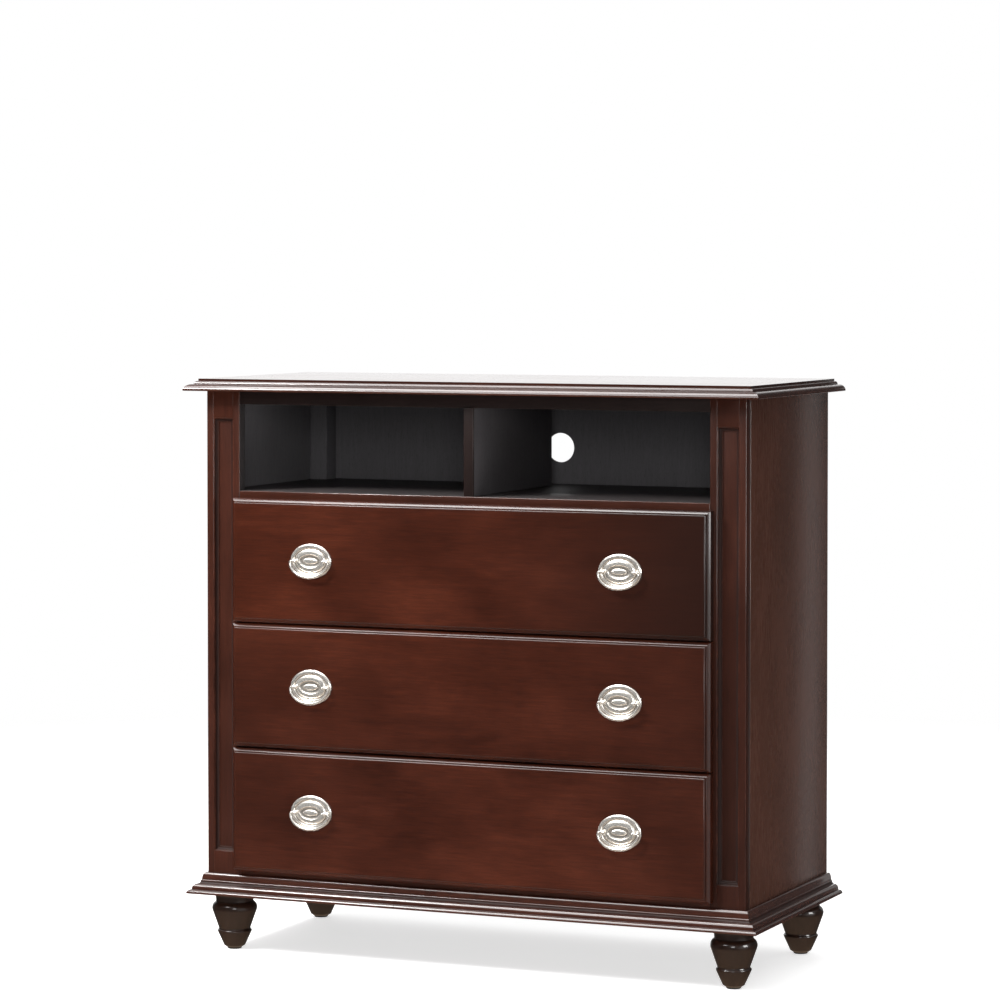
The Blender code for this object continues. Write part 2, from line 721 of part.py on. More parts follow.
def plate_section():
    """Inset from the oval plate's edge and height above the drawer's face, from the edge to the middle."""
    crest = PLATE_RIM_WIDTH + PLATE_DOME_WIDTH
    dish = crest + PLATE_DISH_WIDTH
    groove = PLATE_GROOVE_HEIGHT
    low = PLATE_DOME_HEIGHT - PLATE_DISH_DEPTH
    rim_outer = (PLATE_RIM_CREST, PLATE_RIM_HEIGHT - PLATE_EDGE)
    rim_inner = (PLATE_RIM_WIDTH - PLATE_RIM_CREST, PLATE_RIM_HEIGHT - groove)
    dome = (PLATE_DOME_WIDTH, PLATE_DOME_HEIGHT - groove)
    return [
        (0.0, SEAT),
        *arc((PLATE_RIM_CREST, PLATE_EDGE), rim_outer, 180, 90, PLATE_STEPS),
        *arc((PLATE_RIM_CREST, groove), rim_inner, 90, 0, PLATE_STEPS)[1:],
        *arc((crest, groove), dome, 180, 90, PLATE_STEPS)[1:],
        *arc((dish, PLATE_DOME_HEIGHT), (PLATE_DISH_WIDTH, PLATE_DISH_DEPTH), 180, 270, PLATE_STEPS)[1:],
        *arc((dish + PLATE_EYE_WIDTH, low), (PLATE_EYE_WIDTH, PLATE_EYE_RISE), 180, 90, PLATE_STEPS)[1:],
    ]


def pivot_post(sign):
    """A ball post that stands on the plate to one side of its middle."""
    foot = PLATE_GROOVE_HEIGHT / 2
    ball = arc((0.0, PIVOT_HEIGHT), (PIVOT_BALL_RADIUS, PIVOT_BALL_RADIUS), *PIVOT_BALL_ARC, 2 * PLATE_STEPS)
    crown = (0.0, PIVOT_HEIGHT + PIVOT_BALL_RADIUS)
    post = turned([crown, *ball[1:], (PIVOT_FOOT_RADIUS, foot), (0.0, foot)], PIVOT_SEGMENTS)
    for vert in post.verts:
        vert.co = (vert.co.x + sign * PIVOT_HALF_SPAN, -vert.co.z, vert.co.y)
    return post


def plate_data():
    """The cast plate of a pull: oval rings, with a bored ball post each side for the bail."""
    angles = [2 * math.pi * i / PLATE_SEGMENTS for i in range(PLATE_SEGMENTS)]
    rings = []
    for inset, height in plate_section():
        half = (PLATE_HALF_WIDTH - inset, PLATE_HALF_HEIGHT - inset)
        rings.append([(half[0] * math.cos(a), -height, half[1] * math.sin(a)) for a in angles])
    plate = add_tool("plate", skin(rings))
    tools = [plate]
    for side, sign in SIDES.items():
        post = add_tool(f"post_{side}", pivot_post(sign))
        combine(plate, post, "UNION")
        centre = (sign * PIVOT_HALF_SPAN, -PIVOT_HEIGHT, 0.0)
        hole = rod(centre, "X", BAIL_PIN_RADIUS + PIN_CLEARANCE, 4 * PIVOT_BALL_RADIUS, PIVOT_SEGMENTS)
        bore = add_tool(f"bore_{side}", hole)
        combine(plate, bore, "DIFFERENCE")
        tools += [post, bore]
    whole = plate.evaluated_get(bpy.context.evaluated_depsgraph_get())
    data = bpy.data.meshes.new_from_object(whole)
    data.shade_smooth()
    data.set_sharp_from_angle(angle=SMOOTH_ANGLE)
    for tool in tools:
        bpy.data.objects.remove(tool)
    return data


def bail_path():
    """Points and radii of the bail in its hanging plane, from one pin round to the other."""
    pin = PIVOT_HALF_SPAN - BAIL_PIN_REACH
    corner = BAIL_HALF_WIDTH - BAIL_CORNER
    bend = arc((corner, -BAIL_CORNER), (BAIL_CORNER, BAIL_CORNER), *BAIL_CORNER_ARC, 2)
    end = [(point, BAIL_PIN_RADIUS) for point in [(pin, 0.0), *bend]]
    sweep = arc((0.0, -BAIL_CORNER), (BAIL_HALF_WIDTH, BAIL_DROP - BAIL_CORNER), 0, -180, BAIL_STEPS)
    grip = []
    for i, point in enumerate(sweep):
        swell = math.sin(math.pi * i / BAIL_STEPS) ** 2
        grip.append((point, BAIL_END_RADIUS + (BAIL_GRIP_RADIUS - BAIL_END_RADIUS) * swell))
    return end + grip + [((-x, z), radius) for (x, z), radius in reversed(end)]


def bail_mesh():
    """The bail: a round bar that swells at the grip and ends in two inward pins."""
    path = bail_path()
    centres = [Vector((x, 0.0, z)) for (x, z), _ in path]
    rings = []
    for i, (_, radius) in enumerate(path):
        ahead = centres[min(i + 1, len(path) - 1)]
        behind = centres[max(i - 1, 0)]
        across = (ahead - behind).normalized().cross(Vector((0.0, 1.0, 0.0)))
        ring = []
        for k in range(BAIL_SIDES):
            angle = 2 * math.pi * k / BAIL_SIDES
            offset = across * math.cos(angle) + Vector((0.0, 1.0, 0.0)) * math.sin(angle)
            ring.append(centres[i] + offset * radius)
        rings.append(ring)
    return skin(rings)


def add_pulls(slides):
    """Two pulls on each drawer, sharing one plate and one bail."""
    plate = plate_data()
    bail = data_of("bail", bail_mesh(), smooth=True)
    for drawer, slide in slides.items():
        z = slide.location.z + PULL_RISE
        for side, sign in SIDES.items():
            x = sign * (X_FRONT - PULL_END_INSET)
            pivot = (x, Y_FRONT_FACE - PIVOT_HEIGHT, z)
            add_copy(f"pull_plate_{drawer}_{side}", plate, NICKEL, (x, Y_FRONT_FACE, z), slide)
            add_copy(f"pull_bail_{drawer}_{side}", bail, NICKEL, pivot, slide)


def build_chest():
    """The whole chest, from the floor up."""
    for piece in list(bpy.data.objects):
        bpy.data.objects.remove(piece)
    add_feet()
    add_moulding("base_moulding", base_profile(), Z_BASE, FRAME_WOOD)
    add_bottom()
    add_posts()
    add_rails()
    add_sides()
    add_back()
    add_media_compartment()
    add_runners()
    add_top()
    slides = {drawer: add_drawer(level, drawer) for level, drawer in enumerate(DRAWERS)}
    bpy.context.view_layer.update()
    add_pulls(slides)
    bpy.context.view_layer.update()


build_chest()
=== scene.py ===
"""Looks of a media chest: three drawers under an open compartment of two bays.

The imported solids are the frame. The moulded, turned and cast pieces are made again here with their
full curves, the boards get softened arrises, and every surface gets a finish built from nodes.

Metres. +X is to the right, +Y to the back and +Z up.
"""

from __future__ import annotations

import logging
import math
from collections.abc import Callable, Sequence
from dataclasses import dataclass, field, replace
from enum import Enum
from functools import cached_property
from typing import Any

import bmesh
import bpy
from bmesh.types import BMesh
from bpy.types import Material, Node, NodeSocket, Object
from mathutils import Matrix, Vector


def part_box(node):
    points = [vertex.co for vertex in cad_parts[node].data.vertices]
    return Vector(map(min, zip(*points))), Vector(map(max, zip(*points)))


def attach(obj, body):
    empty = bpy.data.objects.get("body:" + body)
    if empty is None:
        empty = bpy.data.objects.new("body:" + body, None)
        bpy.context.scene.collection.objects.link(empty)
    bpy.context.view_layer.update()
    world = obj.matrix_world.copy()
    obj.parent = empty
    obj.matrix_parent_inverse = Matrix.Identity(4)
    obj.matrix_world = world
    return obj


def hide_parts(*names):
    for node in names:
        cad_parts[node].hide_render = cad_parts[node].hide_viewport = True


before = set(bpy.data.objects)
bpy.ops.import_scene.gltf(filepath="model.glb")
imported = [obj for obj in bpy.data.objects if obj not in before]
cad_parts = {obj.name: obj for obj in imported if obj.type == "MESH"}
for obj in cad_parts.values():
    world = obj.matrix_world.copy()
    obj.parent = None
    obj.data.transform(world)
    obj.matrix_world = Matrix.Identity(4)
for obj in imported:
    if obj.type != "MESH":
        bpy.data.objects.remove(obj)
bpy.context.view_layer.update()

log = logging.getLogger("media_chest")

Colour = tuple[float, float, float]
Point = tuple[float, float]
Place = tuple[float, float, float]

MERGE = 1e-5
FINE_MERGE = 1e-6
TINY = 1e-9
FULL_TURN = 2 * math.pi
WHITE = (1.0, 1.0, 1.0)

# Angles that tell a flat from a curve and a curve from an arris
FLAT_ANGLE = math.radians(1)
SLIGHT_TURN = math.radians(2)
SHARP_TURN = math.radians(24)
SMOOTH_ANGLE = math.radians(38)
ARRIS_ANGLE = math.radians(40)

# A rounded arris: its stretches, the share of a flat that it may take, and the flats that get a guard point
ROUND_STEPS = 3
REACH_SHARE = 0.42
GUARDED_RUN = 6

# How far a change of lining colour is spread, and how far it stays from a rear face
LINING_BLEND = 0.001
LINING_MARGIN = 0.003


class Side(Enum):
    """The two ends of the chest."""

    LEFT = -1
    RIGHT = 1

    @property
    def word(self) -> str:
        """The side's name in node names."""
        return self.name.lower()


class Level(Enum):
    """The three drawers, from the floor up."""

    BOTTOM = "bottom"
    MIDDLE = "middle"
    TOP = "top"


class Grain(Enum):
    """Which way the fibres of a board run."""

    ACROSS = "xyz"
    DEEP = "yxz"
    UPRIGHT = "zxy"


# Node trees


class Value:
    """A number that varies over a surface or a shape: a socket with arithmetic."""

    def __init__(self, desk: Desk, socket: NodeSocket) -> None:
        """Wraps one output socket of a desk's tree."""
        self.desk = desk
        self.socket = socket

    def __add__(self, other: Value | float) -> Value:
        """Sum."""
        return self.desk.math("ADD", self, other)

    __radd__ = __add__

    def __sub__(self, other: Value | float) -> Value:
        """Difference."""
        return self.desk.math("SUBTRACT", self, other)

    def __rsub__(self, other: float) -> Value:
        """Difference from a plain number."""
        return self.desk.math("SUBTRACT", other, self)

    def __mul__(self, other: Value | float) -> Value:
        """Product."""
        return self.desk.math("MULTIPLY", self, other)

    __rmul__ = __mul__

    def __truediv__(self, other: Value | float) -> Value:
        """Quotient."""
        return self.desk.math("DIVIDE", self, other)

    def __mod__(self, other: Value | float) -> Value:
        """Remainder."""
        return self.desk.math("MODULO", self, other)

    def __abs__(self) -> Value:
        """Size without sign."""
        return self.desk.math("ABSOLUTE", self)

    def floor(self) -> Value:
        """Whole part."""
        return self.desk.math("FLOOR", self)

    def cosine(self) -> Value:
        """Cosine of an angle in radians."""
        return self.desk.math("COSINE", self)

    def sine(self) -> Value:
        """Sine of an angle in radians."""
        return self.desk.math("SINE", self)

    def at_least(self, other: float) -> Value:
        """The greater of the two."""
        return self.desk.math("MAXIMUM", self, other)

    def eased(self, low: float, high: float) -> Value:
        """A smooth step from 0 at low to 1 at high."""
        span = {"Value": self, "From Min": low, "From Max": high}
        return self.desk.value("ShaderNodeMapRange", span, "Result", interpolation_type="SMOOTHSTEP")


class Desk:
    """A node tree that is being laid out."""

    def __init__(self, tree: bpy.types.NodeTree) -> None:
        """Starts on an empty tree."""
        self.tree = tree
        self.tree.nodes.clear()

    def node(self, kind: str, sockets: dict[str | int, Any] | None = None, **settings: Any) -> Node:
        """Adds a node.

        Args:
            kind: the node's type.
            sockets: numbers, colours, links or nodes for its inputs, by place, identifier or name.
            settings: its properties, set first; stops are those of a colour ramp.

        Returns:
            The node.
        """
        made = self.tree.nodes.new(kind)
        for key, value in settings.items():
            if key == "stops":
                self._set_stops(made.color_ramp, value)
            else:
                setattr(made, key, value)
        for key, value in (sockets or {}).items():
            self.feed(self._input(made, key), value)
        return made

    def value(
        self, kind: str, sockets: dict[str | int, Any] | None = None, output: str | int = 0, **settings: Any
    ) -> Value:
        """Adds a node and takes one of its outputs as a number."""
        return Value(self, self.node(kind, sockets, **settings).outputs[output])

    @staticmethod
    def _set_stops(ramp: bpy.types.ColorRamp, stops: Sequence[tuple[float, Colour]]) -> None:
        """Gives a ramp its stops.

        Args:
            ramp: the ramp of a new node.
            stops: the place and colour of each.
        """
        while len(ramp.elements) < len(stops):
            ramp.elements.new(1.0)
        for element, (place, colour) in zip(ramp.elements, stops):
            element.position = place
            element.color = (*colour, 1.0)

    @staticmethod
    def _input(node: Node, key: str | int) -> NodeSocket:
        """Finds an input.

        Args:
            node: the node that has it.
            key: its place, identifier or name.

        Returns:
            The input.
        """
        if isinstance(key, str):
            for socket in node.inputs:
                if socket.identifier == key:
                    return socket
        return node.inputs[key]

    def feed(self, socket: NodeSocket, value: Any) -> None:
        """Links an input, or sets it to a number.

        Args:
            socket: the input.
            value: a number, a colour, a value, a link, or a node whose first output is meant.
        """
        source = value.socket if isinstance(value, Value) else value
        if isinstance(source, Node):
            source = source.outputs[0]
        if isinstance(source, NodeSocket):
            self.tree.links.new(source, socket)
        else:
            socket.default_value = source

    def math(self, operation: str, *terms: Value | float) -> Value:
        """A Math node on one, two or three terms."""
        return self.value("ShaderNodeMath", dict(enumerate(terms)), operation=operation)

    def vector(self, x: Value | float, y: Value | float, z: Value | float) -> NodeSocket:
        """Three values as one vector."""
        return self.node("ShaderNodeCombineXYZ", {"X": x, "Y": y, "Z": z}).outputs[0]

    def parts(self, vector: NodeSocket) -> dict[str, Value]:
        """The three values of a vector, by axis."""
        split = self.node("ShaderNodeSeparateXYZ", {"Vector": vector})
        return {axis: Value(self, split.outputs[place]) for place, axis in enumerate("xyz")}


@dataclass(frozen=True)
class Figure:
    """One layer of a wood's figure: how fine it is along the fibres and across them."""

    along: float
    across: float
    detail: float = 1.0
    roughness: float = 0.5


class FinishDesk(Desk):
    """The node tree of one finish."""

    def __init__(self, name: str) -> None:
        """Starts a material with an empty tree.

        Args:
            name: the material's name.
        """
        self.material = bpy.data.materials.new(name)
        self.material.use_nodes = True
        super().__init__(self.material.node_tree)
        self.point = self.node("ShaderNodeTexCoord").outputs["Object"]

    @cached_property
    def place(self) -> dict[str, Value]:
        """Where the point lies, by axis."""
        return self.parts(self.point)

    def noise(
        self, vector: NodeSocket, scale: float = 1.0, detail: float = 2.0, roughness: float = 0.5
    ) -> Value:
        """Soft noise from 0 to 1.

        Args:
            vector: where it is read.
            scale: how fine it is.
            detail: how many finer layers it has.
            roughness: how strong those are.

        Returns:
            The noise.
        """
        sockets = {"Vector": vector, "Scale": scale, "Detail": detail, "Roughness": roughness}
        return self.value("ShaderNodeTexNoise", sockets, "Fac")

    def figure(self, layer: Figure, place: Sequence[Value]) -> Value:
        """One layer of a wood's figure.

        Args:
            layer: how fine it is.
            place: where it is read: along the fibres, across them and deep.

        Returns:
            The layer, as noise from 0 to 1.
        """
        along, side, deep = place
        stretched = self.vector(along * layer.along, side * layer.across, deep * layer.across)
        return self.noise(stretched, 1.0, layer.detail, layer.roughness)

    def fibre_place(self, grain: Grain, bend: Figure, waver: float) -> tuple[Value, Value, Value]:
        """Where a point lies among fibres that waver.

        Args:
            grain: which way they run.
            bend: the layer that bends them.
            waver: how far it does.

        Returns:
            Its place along the fibres, across them and deep.
        """
        along, side, deep = (self.place[axis] for axis in grain.value)
        bent = self.figure(bend, (along, side, deep))
        return along, side + (bent - 0.5) * waver, deep

    def mark(self, name: str) -> Value:
        """A number that the mesh itself carries."""
        return self.value("ShaderNodeAttribute", None, "Fac", attribute_name=name)

    def ramp(self, value: Value, stops: Sequence[tuple[float, Colour]]) -> NodeSocket:
        """A colour for each value."""
        return self.node("ShaderNodeValToRGB", {"Fac": value}, stops=stops).outputs["Color"]

    def mix(self, share: Value, first: Any, second: Any) -> NodeSocket:
        """Two colours mixed.

        Args:
            share: how much of the second there is.
            first: colour or link.
            second: colour or link.

        Returns:
            The mixed colour.
        """
        colours = [(*c, 1.0) if isinstance(c, tuple) else c for c in (first, second)]
        sockets = {"Factor_Float": share, "A_Color": colours[0], "B_Color": colours[1]}
        made = self.node("ShaderNodeMix", sockets, data_type="RGBA")
        return next(s for s in made.outputs if s.identifier == "Result_Color")

    def relief(self, height: Value, strength: float, distance: float) -> NodeSocket:
        """A bumped normal from a height."""
        sockets = {"Strength": strength, "Distance": distance, "Height": height}
        return self.node("ShaderNodeBump", sockets).outputs["Normal"]

    def surface(self, **sockets: Any) -> Material:
        """Ends the tree in one surface.

        Args:
            sockets: the surface's inputs, with _ for each space.

        Returns:
            The material.
        """
        named = {key.replace("_", " "): value for key, value in sockets.items()}
        self.node("ShaderNodeOutputMaterial", {"Surface": self.node("ShaderNodeBsdfPrincipled", named)})
        return self.material


# Finishes


def toned(colour: Colour, share: float) -> Colour:
    """A colour made darker or lighter."""
    return tuple(share * part for part in colour)


@dataclass(frozen=True)
class Lining:
    """A second colour on part of a board, used as stain, painted light and painted shade: its share at each
    point, and how much duller it is.
    """

    name: str
    share: Callable[[dict[str, Value]], Value]
    dull: float = 0.24


@dataclass(frozen=True)
class StainedWood:
    """Close-grained hardwood under a dark wiped stain and lacquer, in tones from dark to light."""

    name: str
    tones: tuple[Colour, Colour, Colour]
    roughness: float
    coat: float
    coat_roughness: float = 0.10
    arris_coat: float = 1.0
    specular: float = 0.22
    inside: Colour | None = None
    waver: float = 0.030
    rub: float = 0.40
    bend: Figure = Figure(1.3, 3.1)
    clouds: Figure = Figure(5.5, 9.5, 4.0, 0.55)
    streaks: Figure = Figure(14.0, 210.0, 3.0, 0.62)
    fibres: Figure = Figure(34.0, 980.0, 2.0)
    pores: Figure = Figure(120.0, 2100.0)
    wiping: Figure = Figure(1.7, 3.3)

    def material(self, grain: Grain, lining: Lining | None = None) -> Material:
        """The finish for boards of one grain direction.

        Args:
            grain: which way the fibres run.
            lining: a second colour on part of them, used as stain, painted light and painted shade.

        Returns:
            The material.
        """
        desk = FinishDesk(f"{self.name}_{grain.name.lower()}" + (f"_{lining.name}" if lining else ""))
        dark, middle, light = self.tones
        place = desk.fibre_place(grain, self.bend, self.waver)
        layers = (self.clouds, self.streaks, self.fibres, self.wiping, self.pores)
        clouds, streaks, fibres, wiped, holes = (desk.figure(layer, place) for layer in layers)
        pores = holes.eased(0.60, 0.72)
        tone = clouds * 0.36 + streaks * 0.18 + fibres * 0.18 + wiped * 0.28
        colour = desk.ramp(tone, [(0.36, dark), (0.50, middle), (0.64, light)])
        dull = fibres * 0.06
        # A lining lays a second colour on part of the board: in the bays a grey lighter than the stain as
        # painted light, on drawer fronts painted shade and a darker tone.
        if lining and self.inside:
            lined = lining.share(desk.place)
            shade = desk.mix(streaks, toned(self.inside, 0.86), toned(self.inside, 1.18))
            colour = desk.mix(lined, colour, shade)
            dull = dull + lined * lining.dull
        # Outer arrises count as worn; hollows and inner corners are darkened, dulled and lose their coat as
        # glaze and painted shade together.
        edge = desk.mark("edge") - desk.mark("hollow")
        worn = edge.at_least(0.0)
        glaze_and_shade = (edge * -1.0).at_least(0.0)
        # Lighter patches on the most worn arrises and swells: rubbed-through wear and painted glint
        # together.
        rub_and_glint_patches = desk.noise(desk.point, 42.0, 3.0, 0.65).eased(0.38, 0.66)
        colour = desk.mix(pores * 0.30, colour, toned(dark, 0.35))
        colour = desk.mix(worn.eased(0.85, 1.0) * rub_and_glint_patches * self.rub, colour, toned(light, 2.2))
        colour = desk.mix(glaze_and_shade * 0.55, colour, toned(dark, 0.35))
        lacquer = desk.noise(desk.point, 260.0)
        return desk.surface(
            Base_Color=colour,
            Roughness=(clouds - 0.5) * 0.10 + dull + pores * 0.10 + glaze_and_shade * 0.35 + (self.roughness - 0.03),
            Specular_IOR_Level=self.specular,
            Coat_Weight=(worn * (self.arris_coat - self.coat) + self.coat) * (1.0 - glaze_and_shade * 0.9),
            Coat_Roughness=self.coat_roughness,
            Normal=desk.relief(fibres * 0.30 + lacquer * 0.55 - pores * 0.60, 0.18, 0.0002),
        )


@dataclass(frozen=True)
class PaleWood:
    """Bare sanded hardwood, as in the drawer boxes."""

    name: str
    dark: Colour
    light: Colour
    roughness: float = 0.58
    waver: float = 0.05
    bend: Figure = Figure(1.6, 4.0)
    rings: Figure = Figure(1.2, 46.0, 3.0, 0.6)
    fibres: Figure = Figure(30.0, 760.0, 2.0)
    pores: Figure = Figure(95.0, 1700.0)

    def material(self, grain: Grain) -> Material:
        """The finish for boards of one grain direction.

        Args:
            grain: which way the fibres run.

        Returns:
            The material.
        """
        desk = FinishDesk(f"{self.name}_{grain.name.lower()}")
        place = desk.fibre_place(grain, self.bend, self.waver)
        layers = (self.rings, self.fibres, self.pores)
        rings, fibres, holes = (desk.figure(layer, place) for layer in layers)
        pores = holes.eased(0.60, 0.74)
        colour = desk.ramp(rings * 0.7 + fibres * 0.3, [(0.30, self.dark), (0.66, self.light)])
        colour = desk.mix(pores * 0.35, colour, toned(self.dark, 0.6))
        colour = desk.mix(desk.mark("edge").at_least(0.0) * 0.3, colour, self.light)
        return desk.surface(
            Base_Color=colour,
            Roughness=fibres * 0.12 + pores * 0.08 + (self.roughness - 0.06),
            Normal=desk.relief(fibres - pores * 0.8, 0.30, 0.0003),
        )


@dataclass(frozen=True)
class Metal:
    """Cast or drawn metal with fine polishing lines and a darker bloom in its hollows."""

    name: str
    bright: Colour
    bloom: Colour
    roughness: float
    metallic: float = 1.0
    polish: Place = (260.0, 900.0, 2600.0)

    def material(self) -> Material:
        """The finish.

        Returns:
            The material.
        """
        desk = FinishDesk(self.name)
        cloud = desk.noise(desk.point, 70.0, 3.0, 0.6)
        lines = desk.noise(desk.vector(*(at * fine for at, fine in zip(desk.place.values(), self.polish))))
        hollow = desk.mark("hollow").at_least(0.0)
        tarnish = hollow * (cloud * 0.5 + 0.35) + cloud.eased(0.56, 0.78) * 0.12
        return desk.surface(
            Base_Color=desk.mix(tarnish, self.bright, self.bloom),
            Metallic=self.metallic,
            Roughness=cloud * 0.08 + lines * 0.06 + hollow * 0.10 + (self.roughness - 0.07),
            Normal=desk.relief(lines * 0.5 + cloud * 0.5, 0.10, 0.0001),
        )


@dataclass(frozen=True)
class Moulded:
    """Felt or nylon: dull, with a fine tooth."""

    name: str
    dark: Colour
    light: Colour
    roughness: float
    tooth: float

    def material(self) -> Material:
        """The finish.

        Returns:
            The material.
        """
        desk = FinishDesk(self.name)
        cloud = desk.noise(desk.point, 55.0, 3.0)
        tooth = desk.noise(desk.point, self.tooth, 2.0, 0.7)
        return desk.surface(
            Base_Color=desk.mix(cloud * 0.5 + tooth * 0.5, self.dark, self.light),
            Roughness=tooth * 0.14 + (self.roughness - 0.07),
            Normal=desk.relief(tooth, 0.35, 0.0004),
        )


Finish = StainedWood | PaleWood | Metal | Moulded

# Its lining colour darkens the ends of the drawer fronts: painted shade at the top drawer's right end, a
# darker tone on the others.
FRONT_WOOD = StainedWood(
    "front_wood",
    ((0.021, 0.0042, 0.0016), (0.050, 0.0098, 0.0036), (0.088, 0.0182, 0.0066)),
    roughness=0.32, coat=0.05, coat_roughness=0.13, inside=(0.020, 0.0055, 0.0030),
)
FRAME_WOOD = StainedWood(
    "frame_wood",
    ((0.032, 0.0088, 0.0048), (0.053, 0.0142, 0.0077), (0.083, 0.0227, 0.0121)),
    roughness=0.32, coat=0.08, inside=(0.062, 0.054, 0.054),
)
# A darker copy of the frame wood for the right post: painted shade, as less light falls there.
FRAME_WOOD_PAINTED_SHADE = replace(
    FRAME_WOOD,
    name="shaded_wood",
    tones=((0.024, 0.0068, 0.0038), (0.040, 0.0110, 0.0061), (0.063, 0.0176, 0.0096)),
)
MOULD_WOOD = StainedWood(
    "mould_wood",
    ((0.026, 0.0085, 0.0055), (0.043, 0.0135, 0.0085), (0.066, 0.0210, 0.0130)),
    roughness=0.23, coat=0.16, coat_roughness=0.09,
)
# Its lining colour greys the side's inner face in the bays, lighter than the dark stain there: painted
# light.
SIDE_WOOD = StainedWood(
    "side_wood",
    ((0.054, 0.0215, 0.0135), (0.076, 0.0300, 0.0195), (0.103, 0.0415, 0.0275)),
    roughness=0.27, coat=0.0, inside=(0.235, 0.225, 0.236),
)
FOOT_WOOD = StainedWood(
    "foot_wood",
    ((0.0155, 0.0068, 0.0040), (0.0240, 0.0104, 0.0062), (0.0350, 0.0157, 0.0095)),
    roughness=0.34, coat=1.0, specular=0.2,
)
# Its lining colour greys the faces inside the bays, lighter than the dark stain there: painted light.
INNER_WOOD = StainedWood(
    "inner_wood",
    ((0.0094, 0.0048, 0.0042), (0.0148, 0.0076, 0.0066), (0.021, 0.0108, 0.0092)),
    roughness=0.45, coat=0.0, arris_coat=0.3, specular=0.18, inside=(0.180, 0.172, 0.181),
)
BOX_WOOD = PaleWood("box_wood", (0.40, 0.255, 0.140), (0.58, 0.410, 0.250))
NICKEL = Metal("nickel", (0.95, 0.905, 0.84), (0.20, 0.15, 0.11), 0.22, 0.80)
STEEL = Metal("zinc_steel", (0.62, 0.62, 0.60), (0.30, 0.28, 0.25), 0.34)
FELT = Moulded("felt", (0.030, 0.024, 0.020), (0.060, 0.050, 0.042), 0.92, 1900.0)
NYLON = Moulded("nylon", (0.020, 0.019, 0.018), (0.036, 0.034, 0.032), 0.48, 800.0)


# Shapes


@dataclass
class Outline:
    """A section's points, and for each stretch after a point its mark: worn (1), or glazed and darkened as
    painted shade (-1).
    """

    points: list[Point] = field(default_factory=list)
    edges: list[float] = field(default_factory=list)

    def add(self, point: Sequence[float], edge: float = 0.0) -> None:
        """Adds a point and the stretch after it."""
        self.points.append(tuple(point))
        self.edges.append(edge)


def arc(
    centre: Point, radii: Point, start: float, end: float, steps: int = 9, power: float = 2.0
) -> list[Point]:
    """Points of an elliptical arc.

    Args:
        centre: of the ellipse.
        radii: across and up.
        start: in degrees.
        end: in degrees.
        steps: stretches between the points.
        power: 2 for an ellipse, less for a flatter curve.

    Returns:
        The points, from start to end.
    """

    def reach(part: float) -> float:
        """A sine or cosine on the flatter curve."""
        return math.copysign(abs(part) ** (2.0 / power), part)

    points = []
    for i in range(steps + 1):
        a = math.radians(start + (end - start) * i / steps)
        across, up = reach(math.cos(a)), reach(math.sin(a))
        points.append((centre[0] + radii[0] * across, centre[1] + radii[1] * up))
    return points


def eased(
    points: Sequence[Point], radius: float, closed: bool = True, convex: int = 1, curves: float = 0.0
) -> Outline:
    """Rounds the sharp corners of a section.

    Args:
        points: the section, in order.
        radius: of the rounding.
        closed: whether the last point joins the first.
        convex: 1 where a left turn is an outer corner, -1 where a right turn is.
        curves: how polished the section's own swells are, and how much glaze and painted shade its hollows
            get.

    Returns:
        The section with its corners rounded, and the wear, glaze and painted shade of each stretch. A point
        beside each rounding keeps the flat next to it flat in the light.
    """
    made = Outline()
    count = len(points)
    for i, point in enumerate(points):
        here = Vector(point)
        into = here - Vector(points[i - 1])
        away = Vector(points[(i + 1) % count]) - here
        ends = not closed and i in (0, count - 1)
        turn = 0.0 if ends else math.atan2(into.x * away.y - into.y * away.x, into.dot(away))
        if abs(turn) < SHARP_TURN:
            made.add(point, math.copysign(curves, turn * convex) if abs(turn) > SLIGHT_TURN else 0.0)
            continue
        reach = min(radius * math.tan(abs(turn) / 2), REACH_SHARE * into.length, REACH_SHARE * away.length)
        first = here - into.normalized() * reach
        last = here + away.normalized() * reach
        if into.length > GUARDED_RUN * reach:
            made.add(first - into.normalized() * reach / 2)
        for k in range(ROUND_STEPS + 1):
            t = k / ROUND_STEPS
            curve = first * (1 - t) ** 2 + here * 2 * t * (1 - t) + last * t**2
            made.add(curve, math.copysign(1.0, turn * convex) if k < ROUND_STEPS else 0.0)
        if away.length > GUARDED_RUN * reach:
            made.add(last + away.normalized() * reach / 2)
    return made


def skin(
    rings: Sequence[Sequence[Place]],
    closed: bool = False,
    around: Sequence[float] | None = None,
    along: Sequence[float] | None = None,
) -> BMesh:
    """A mesh over a row of rings of points.

    Args:
        rings: the rings, each with the same number of points.
        closed: whether the row closes on itself; otherwise its ends are capped.
        around: mark of each stretch within a ring: wear above 0, glaze and painted shade below 0.
        along: the same mark for each stretch from ring to ring.

    Returns:
        The mesh, with its faces outward and their wear, glaze and painted shade marked.
    """
    mesh = bmesh.new()
    mark = mesh.faces.layers.float.new("edge")
    loops = [[mesh.verts.new(point) for point in ring] for ring in rings]
    pairs = list(zip(loops, loops[1:]))
    if closed:
        pairs.append((loops[-1], loops[0]))
    for k, (near, far) in enumerate(pairs):
        for i in range(len(near)):
            j = (i + 1) % len(near)
            face = mesh.faces.new((near[i], near[j], far[j], far[i]))
            face[mark] = (around[i] if around else 0.0) + (along[k] if along else 0.0)
            face.smooth = True
    if not closed:
        mesh.faces.new(loops[0])
        mesh.faces.new(reversed(loops[-1]))
    bmesh.ops.recalc_face_normals(mesh, faces=mesh.faces)
    return mesh


def rectangle(x: Point, z: Point, y: float, inset: float = 0.0) -> list[Place]:
    """Four corners of an upright rectangle, set in from its edges."""
    left, right, low, high = x[0] + inset, x[1] - inset, z[0] + inset, z[1] - inset
    return [(left, y, low), (right, y, low), (right, y, high), (left, y, high)]


